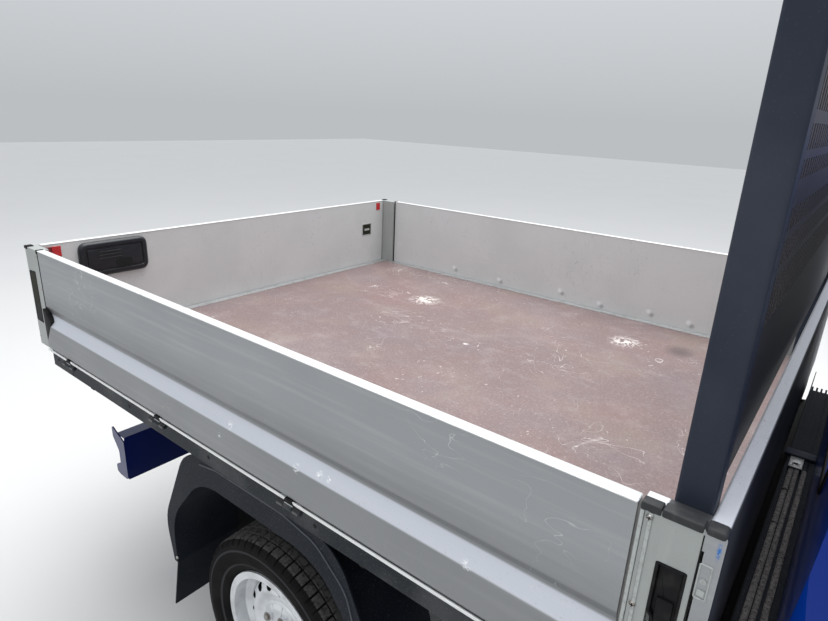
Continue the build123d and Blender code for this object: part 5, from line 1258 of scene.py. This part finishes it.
# Near-black sheets behind the wheels' holes as painted shade, then raised rings and ribs on the discs
SHADE_SHEET_BACK, SHADE_SHEET_FRONT = 0.8380, 0.8410
for place, axle, side in WHEELS:
    outer, inner = (circle(axle, TYRE_RADIUS, reach, 48) for reach in (0.166, 0.096))
    loops = ((outer, SHADE_SHEET_BACK), (inner, SHADE_SHEET_BACK), (inner, SHADE_SHEET_FRONT), (outer, SHADE_SHEET_FRONT))
    rings = [shape.ring(points, "y", side * level) for points, level in loops]
    shape.bridge(rings, caps=False, looped=True)
    shape.piece(f"rim_hole_shade_{place}", PIT, f"wheel_{place}")
for place, axle, side in WHEELS:
    rim_skin = Skin(f"rim_{place}")
    for reach, width, rise in ((0.092, 0.012, 0.0035), (0.176, 0.006, 0.0020)):
        rim_skin.strip(shape, circle(axle, TYRE_RADIUS, reach, 72), "y", side, width, rise)
    for number in range(10):
        angle = 2 * math.pi * (number + 0.5) / 10
        rib = [
            (axle + reach * math.cos(angle), TYRE_RADIUS + reach * math.sin(angle))
            for reach in (0.045, 0.055, 0.065, 0.075, 0.084)
        ]
        rim_skin.strip(shape, rib, "y", side, 0.007, 0.0030, False)
    shape.piece(f"rim_rings_{place}", LOOKS["rim_paint"], f"wheel_{place}")


# Seats: crowned pads with sewn channels and bolsters, in place of the plain ones
CROSS_SEAMS = (-0.45, 0.05, 0.55)
# Bolsters start at this share of the half width, and the cross seams end there
BOLSTER_START = 0.62


def pad(centre, half, lean, seams=(), bolster=0.0, cuts=15):
    """A cushion: a closed crowned form with its sides drawn in between its corners."""
    form = bmesh.new()
    bmesh.ops.create_cube(form, size=2.0)
    bmesh.ops.subdivide_edges(form, edges=form.edges[:], cuts=cuts, use_grid_fill=True)
    turn = Matrix.Rotation(math.radians(lean), 4, "Y")
    for corner in form.verts:
        x, y, z = corner.co
        reach = (abs(x) ** 6 + abs(y) ** 6 + abs(z) ** 6) ** (1 / 6)
        x, y, z = x / reach, y / reach, z / reach
        crown = (1 - x * x) * (1 - y * y)
        drawn = 0.045 * (1 - z * z) * (1 - (x * y) ** 2)
        rise = 0.86 + 0.14 * crown
        if z > 0:
            for seam_y in seams:
                rise -= 0.11 * math.exp(-(((y - seam_y) * half[1] / 0.009) ** 2))
            for seam_x in CROSS_SEAMS:
                if abs(y) < BOLSTER_START:
                    rise -= 0.07 * math.exp(-(((x - seam_x) * half[0] / 0.008) ** 2))
            rise += bolster * max(0.0, abs(y) - BOLSTER_START) * 0.30
        spot = Vector((x * (1 - drawn) * half[0], y * (1 - drawn) * half[1], z * min(rise, 1.0) * half[2]))
        corner.co = turn @ spot + Vector(centre)
    data = bpy.data.meshes.new("pad")
    form.to_mesh(data)
    form.free()
    shape.take(data)


# Rows of (front edge, middle, half width, seams, bolster), and of (front edge, middle)
SEATS = (
    (1.16, 0.42, 0.25, (-0.66, 0.66), 1),
    (1.16, -0.42, 0.25, (-0.66, 0.66), 1),
    (0.31, 0.0, 0.65, (-0.34, 0.34), 0),
)
RESTS = ((1.16, 0.42), (1.16, -0.42), (0.31, 0.40), (0.31, -0.40))
CAB_FLOOR = 0.561
for front, seat_y, half_width, seams, bolster in SEATS:
    pad((front - 0.213, seat_y, 0.8285), (0.212, half_width, 0.0575), -2.5, seams, bolster)
    pad((front - 0.447, seat_y, 1.142), (0.322, half_width, 0.054), 83.5, seams, bolster)
for front, rest_y in RESTS:
    pad((front - 0.480, rest_y, 1.570), (0.078, 0.118, 0.037), 86, cuts=9)
pads = shape.piece("seat_pads", LOOKS["seat_fabric"], "vehicle", 60)
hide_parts("seats")
for front, seat_y, half_width, _, _ in SEATS:
    shape.box(
        (front - 0.415, seat_y - half_width + 0.045, CAB_FLOOR),
        (front - 0.065, seat_y + half_width - 0.045, 0.772), 0.012, 3,
    )
    for rail_y in (seat_y - half_width + 0.060, seat_y + half_width - 0.060):
        shape.box((front - 0.430, rail_y - 0.012, 0.5605), (front - 0.040, rail_y + 0.012, 0.580), 0.003)
for front, rest_y in RESTS:
    for rod_y in (rest_y - 0.060, rest_y + 0.060):
        shape.rod((front - 0.482, rod_y, 1.440), (front - 0.484, rod_y, 1.530), 0.0055, 16)
shape.piece("seat_frames", BLACK)

# Dashboard fittings: hood, dials, vents, blank centre panel with knobs, lever and pedals
hood = rounded([(1.395, 1.150, 0.02), (1.600, 1.146, 0.03), (1.560, 1.205, 0.03), (1.410, 1.215, 0.02)], 5)
shape.prism(hood, "y", 0.270, 0.570, 0.006)
for vent_y in (-0.720, -0.160, 0.160, 0.720):
    vent = round_box((vent_y - 0.075, vent_y + 0.075), (1.040, 1.110), 0.012)
    ring_frame(shape, vent, 0.009, "x", 1.420, 1.3985)
    for slat in range(5):
        slat_z = 1.054 + slat * 0.0105
        shape.box((1.4005, vent_y - 0.066, slat_z - 0.0012), (1.420, vent_y + 0.066, slat_z + 0.0012))
shape.box((1.385, -0.120, 0.860), (1.440, 0.120, 1.025), 0.010, 3)
for knob_y in (-0.065, 0.0, 0.065):
    shape.rod((1.386, knob_y, 0.905), (1.366, knob_y, 0.905), 0.018, 28, 0.0155, 0.002)
shape.tube([(1.300, 0.0, 0.700), (1.280, 0.0, 0.800), (1.255, 0.0, 0.880)], 0.007, 14)
shape.ball((1.252, 0.0, 0.895), 0.022, (1, 1, 1.25), 12)
shape.box((1.230, -0.075, CAB_FLOOR), (1.470, 0.075, 0.705), 0.020, 3)
for pedal_y in (0.330, 0.420, 0.510):
    shape.box((1.560, pedal_y - 0.028, 0.640), (1.572, pedal_y + 0.028, 0.710), 0.004)
    shape.tube([(1.572, pedal_y, 0.690), (1.610, pedal_y, 0.780), (1.690, pedal_y, 0.820)], 0.006, 10)
shape.ball((1.205, 0.420, 1.127), 0.055, (0.30, 1, 0.85), 16)
shape.piece("dashboard_fittings", BLACK)
for dial_y in (0.370, 0.470):
    shape.tube(hoop("x", (1.4010, dial_y, 1.178), 0.036, 36, 0.026), 0.0022, 8)
shape.rod((1.2020, 0.420, 1.1290), (1.1975, 0.420, 1.1310), 0.010, 24, bevel=0.001)
shape.piece("dial_rings", ZINC)
shape.box((1.255, -0.115, 1.735), (1.272, 0.115, 1.795), 0.010, 3)
shape.rod((1.268, 0.0, 1.785), (1.278, 0.0, 1.838), 0.007, 14)
shape.piece("inner_mirror", BLACK)

# Dust-covered foam strips in the tray behind the cab, its bracket and clip
TRAY_TOP = 1.0285
# Rows of (share of the width, share of the height) round a strip's section
FOAM_SECTION = ((0.0, 0.0), (0.0, 0.6), (0.25, 1.0), (0.75, 1.0), (1.0, 0.6), (1.0, 0.0))
rng = random.Random(7)
for low, high, breaks in (
    (-0.3765, -0.3645, (-0.690, -0.296, -0.126, 0.004)),
    (-0.3625, -0.3520, (-0.690, 0.008)),
    (-0.3455, -0.3335, (-0.690, 0.012)),
):
    for start, end in zip(breaks, breaks[1:]):
        count = int((end - start) / 0.012)
        rings = []
        for step in range(count + 1):
            along = start + 0.004 + (end - start - 0.008) * step / count
            ring = []
            for share, rise in FOAM_SECTION:
                height = TRAY_TOP + rise * (0.0050 + rng.uniform(-0.0014, 0.0014))
                across = low + (high - low) * share + rng.uniform(-0.0002, 0.0002)
                ring.append(shape.mesh.verts.new((across, along, height)))
            rings.append(ring)
        shape.bridge(rings)
shape.piece("tray_foam", FOAM, "vehicle", 60)
shape.box((-0.3980, 0.0790, TRAY_TOP), (-0.3208, 0.1170, 1.0400), 0.0025)
shape.piece("tray_bracket", LOOKS["headboard_paint"])
ring_frame(shape, round_box((-0.3720, -0.3560), (0.0260, 0.0460), 0.006), 0.0030, "z", TRAY_TOP, 1.0345)
for low_x, high_x, low_y, high_y in (
    (-0.3800, -0.3470, 0.0150, 0.0265),
    (-0.3800, -0.3470, 0.0455, 0.0790),
    (-0.3800, -0.3715, 0.0260, 0.0460),
    (-0.3565, -0.3470, 0.0260, 0.0460),
):
    shape.box((low_x, low_y, TRAY_TOP), (high_x, high_y, 1.0335), 0.001)
shape.piece("tray_clip", ZINC)

# Floor
bpy.ops.mesh.primitive_plane_add(size=60)
ground = bpy.context.object
ground.name = "ground"
ground.data.materials.append(PALE_FLOOR)

# Light: a sky that is paler toward the top, and two large soft lamps
world = bpy.data.worlds.new("studio")
bpy.context.scene.world = world
world.use_nodes = True
sky = world.node_tree.nodes["Background"]
sky.inputs["Strength"].default_value = 1.0
sky_place = world.node_tree.nodes.new("ShaderNodeTexCoord")
sky_split = world.node_tree.nodes.new("ShaderNodeSeparateXYZ")
sky_ramp = world.node_tree.nodes.new("ShaderNodeValToRGB")
for element, position, colour in zip(
    sky_ramp.color_ramp.elements, (0.0, 0.7), ((0.50, 0.52, 0.54, 1.0), (1.02, 1.05, 1.10, 1.0)),
):
    element.position = position
    element.color = colour
world.node_tree.links.new(sky_place.outputs["Generated"], sky_split.inputs[0])
world.node_tree.links.new(sky_split.outputs["Z"], sky_ramp.inputs["Fac"])
world.node_tree.links.new(sky_ramp.outputs["Color"], sky.inputs["Color"])


def soft_lamp(name, place, aim, size, power):
    light = bpy.data.lights.new(name, "AREA")
    light.shape = "SQUARE"
    light.size = size
    light.energy = power
    lamp_object = bpy.data.objects.new(name, light)
    bpy.context.collection.objects.link(lamp_object)
    lamp_object.location = place
    lamp_object.rotation_euler = (Vector(aim) - Vector(place)).to_track_quat("-Z", "Y").to_euler()


soft_lamp("overhead", (-1.5, 0.8, 7.0), (-0.6, 0.0, 0.5), 6.0, 560.0)
soft_lamp("side", (-3.0, -7.0, 4.0), (-0.5, 0.0, 0.8), 4.0, 30.0)

# Camera, at the photograph's place
EYE = (-0.3517, -1.7706, 1.9272)
FORWARD = Vector((-0.5781, 0.7503, -0.3207)).normalized()
ROLL = math.radians(2.465)
SENSOR = 36.0
level_right = FORWARD.cross(Vector((0, 0, 1))).normalized()
level_up = level_right.cross(FORWARD)
right = math.cos(ROLL) * level_right + math.sin(ROLL) * level_up
up = -math.sin(ROLL) * level_right + math.cos(ROLL) * level_up
camera_data = bpy.data.cameras.new("camera")
camera_data.sensor_width = SENSOR
# The focal length in pixels over the picture's width
camera_data.lens = 585.45 / 828 * SENSOR
camera_data.clip_start = 0.02
camera = bpy.data.objects.new("camera", camera_data)
bpy.context.collection.objects.link(camera)
basis = Matrix((right, up, -FORWARD)).transposed().to_4x4()
camera.matrix_world = Matrix.Translation(EYE) @ basis
bpy.context.scene.camera = camera
bpy.context.scene.view_settings.view_transform = "Standard"
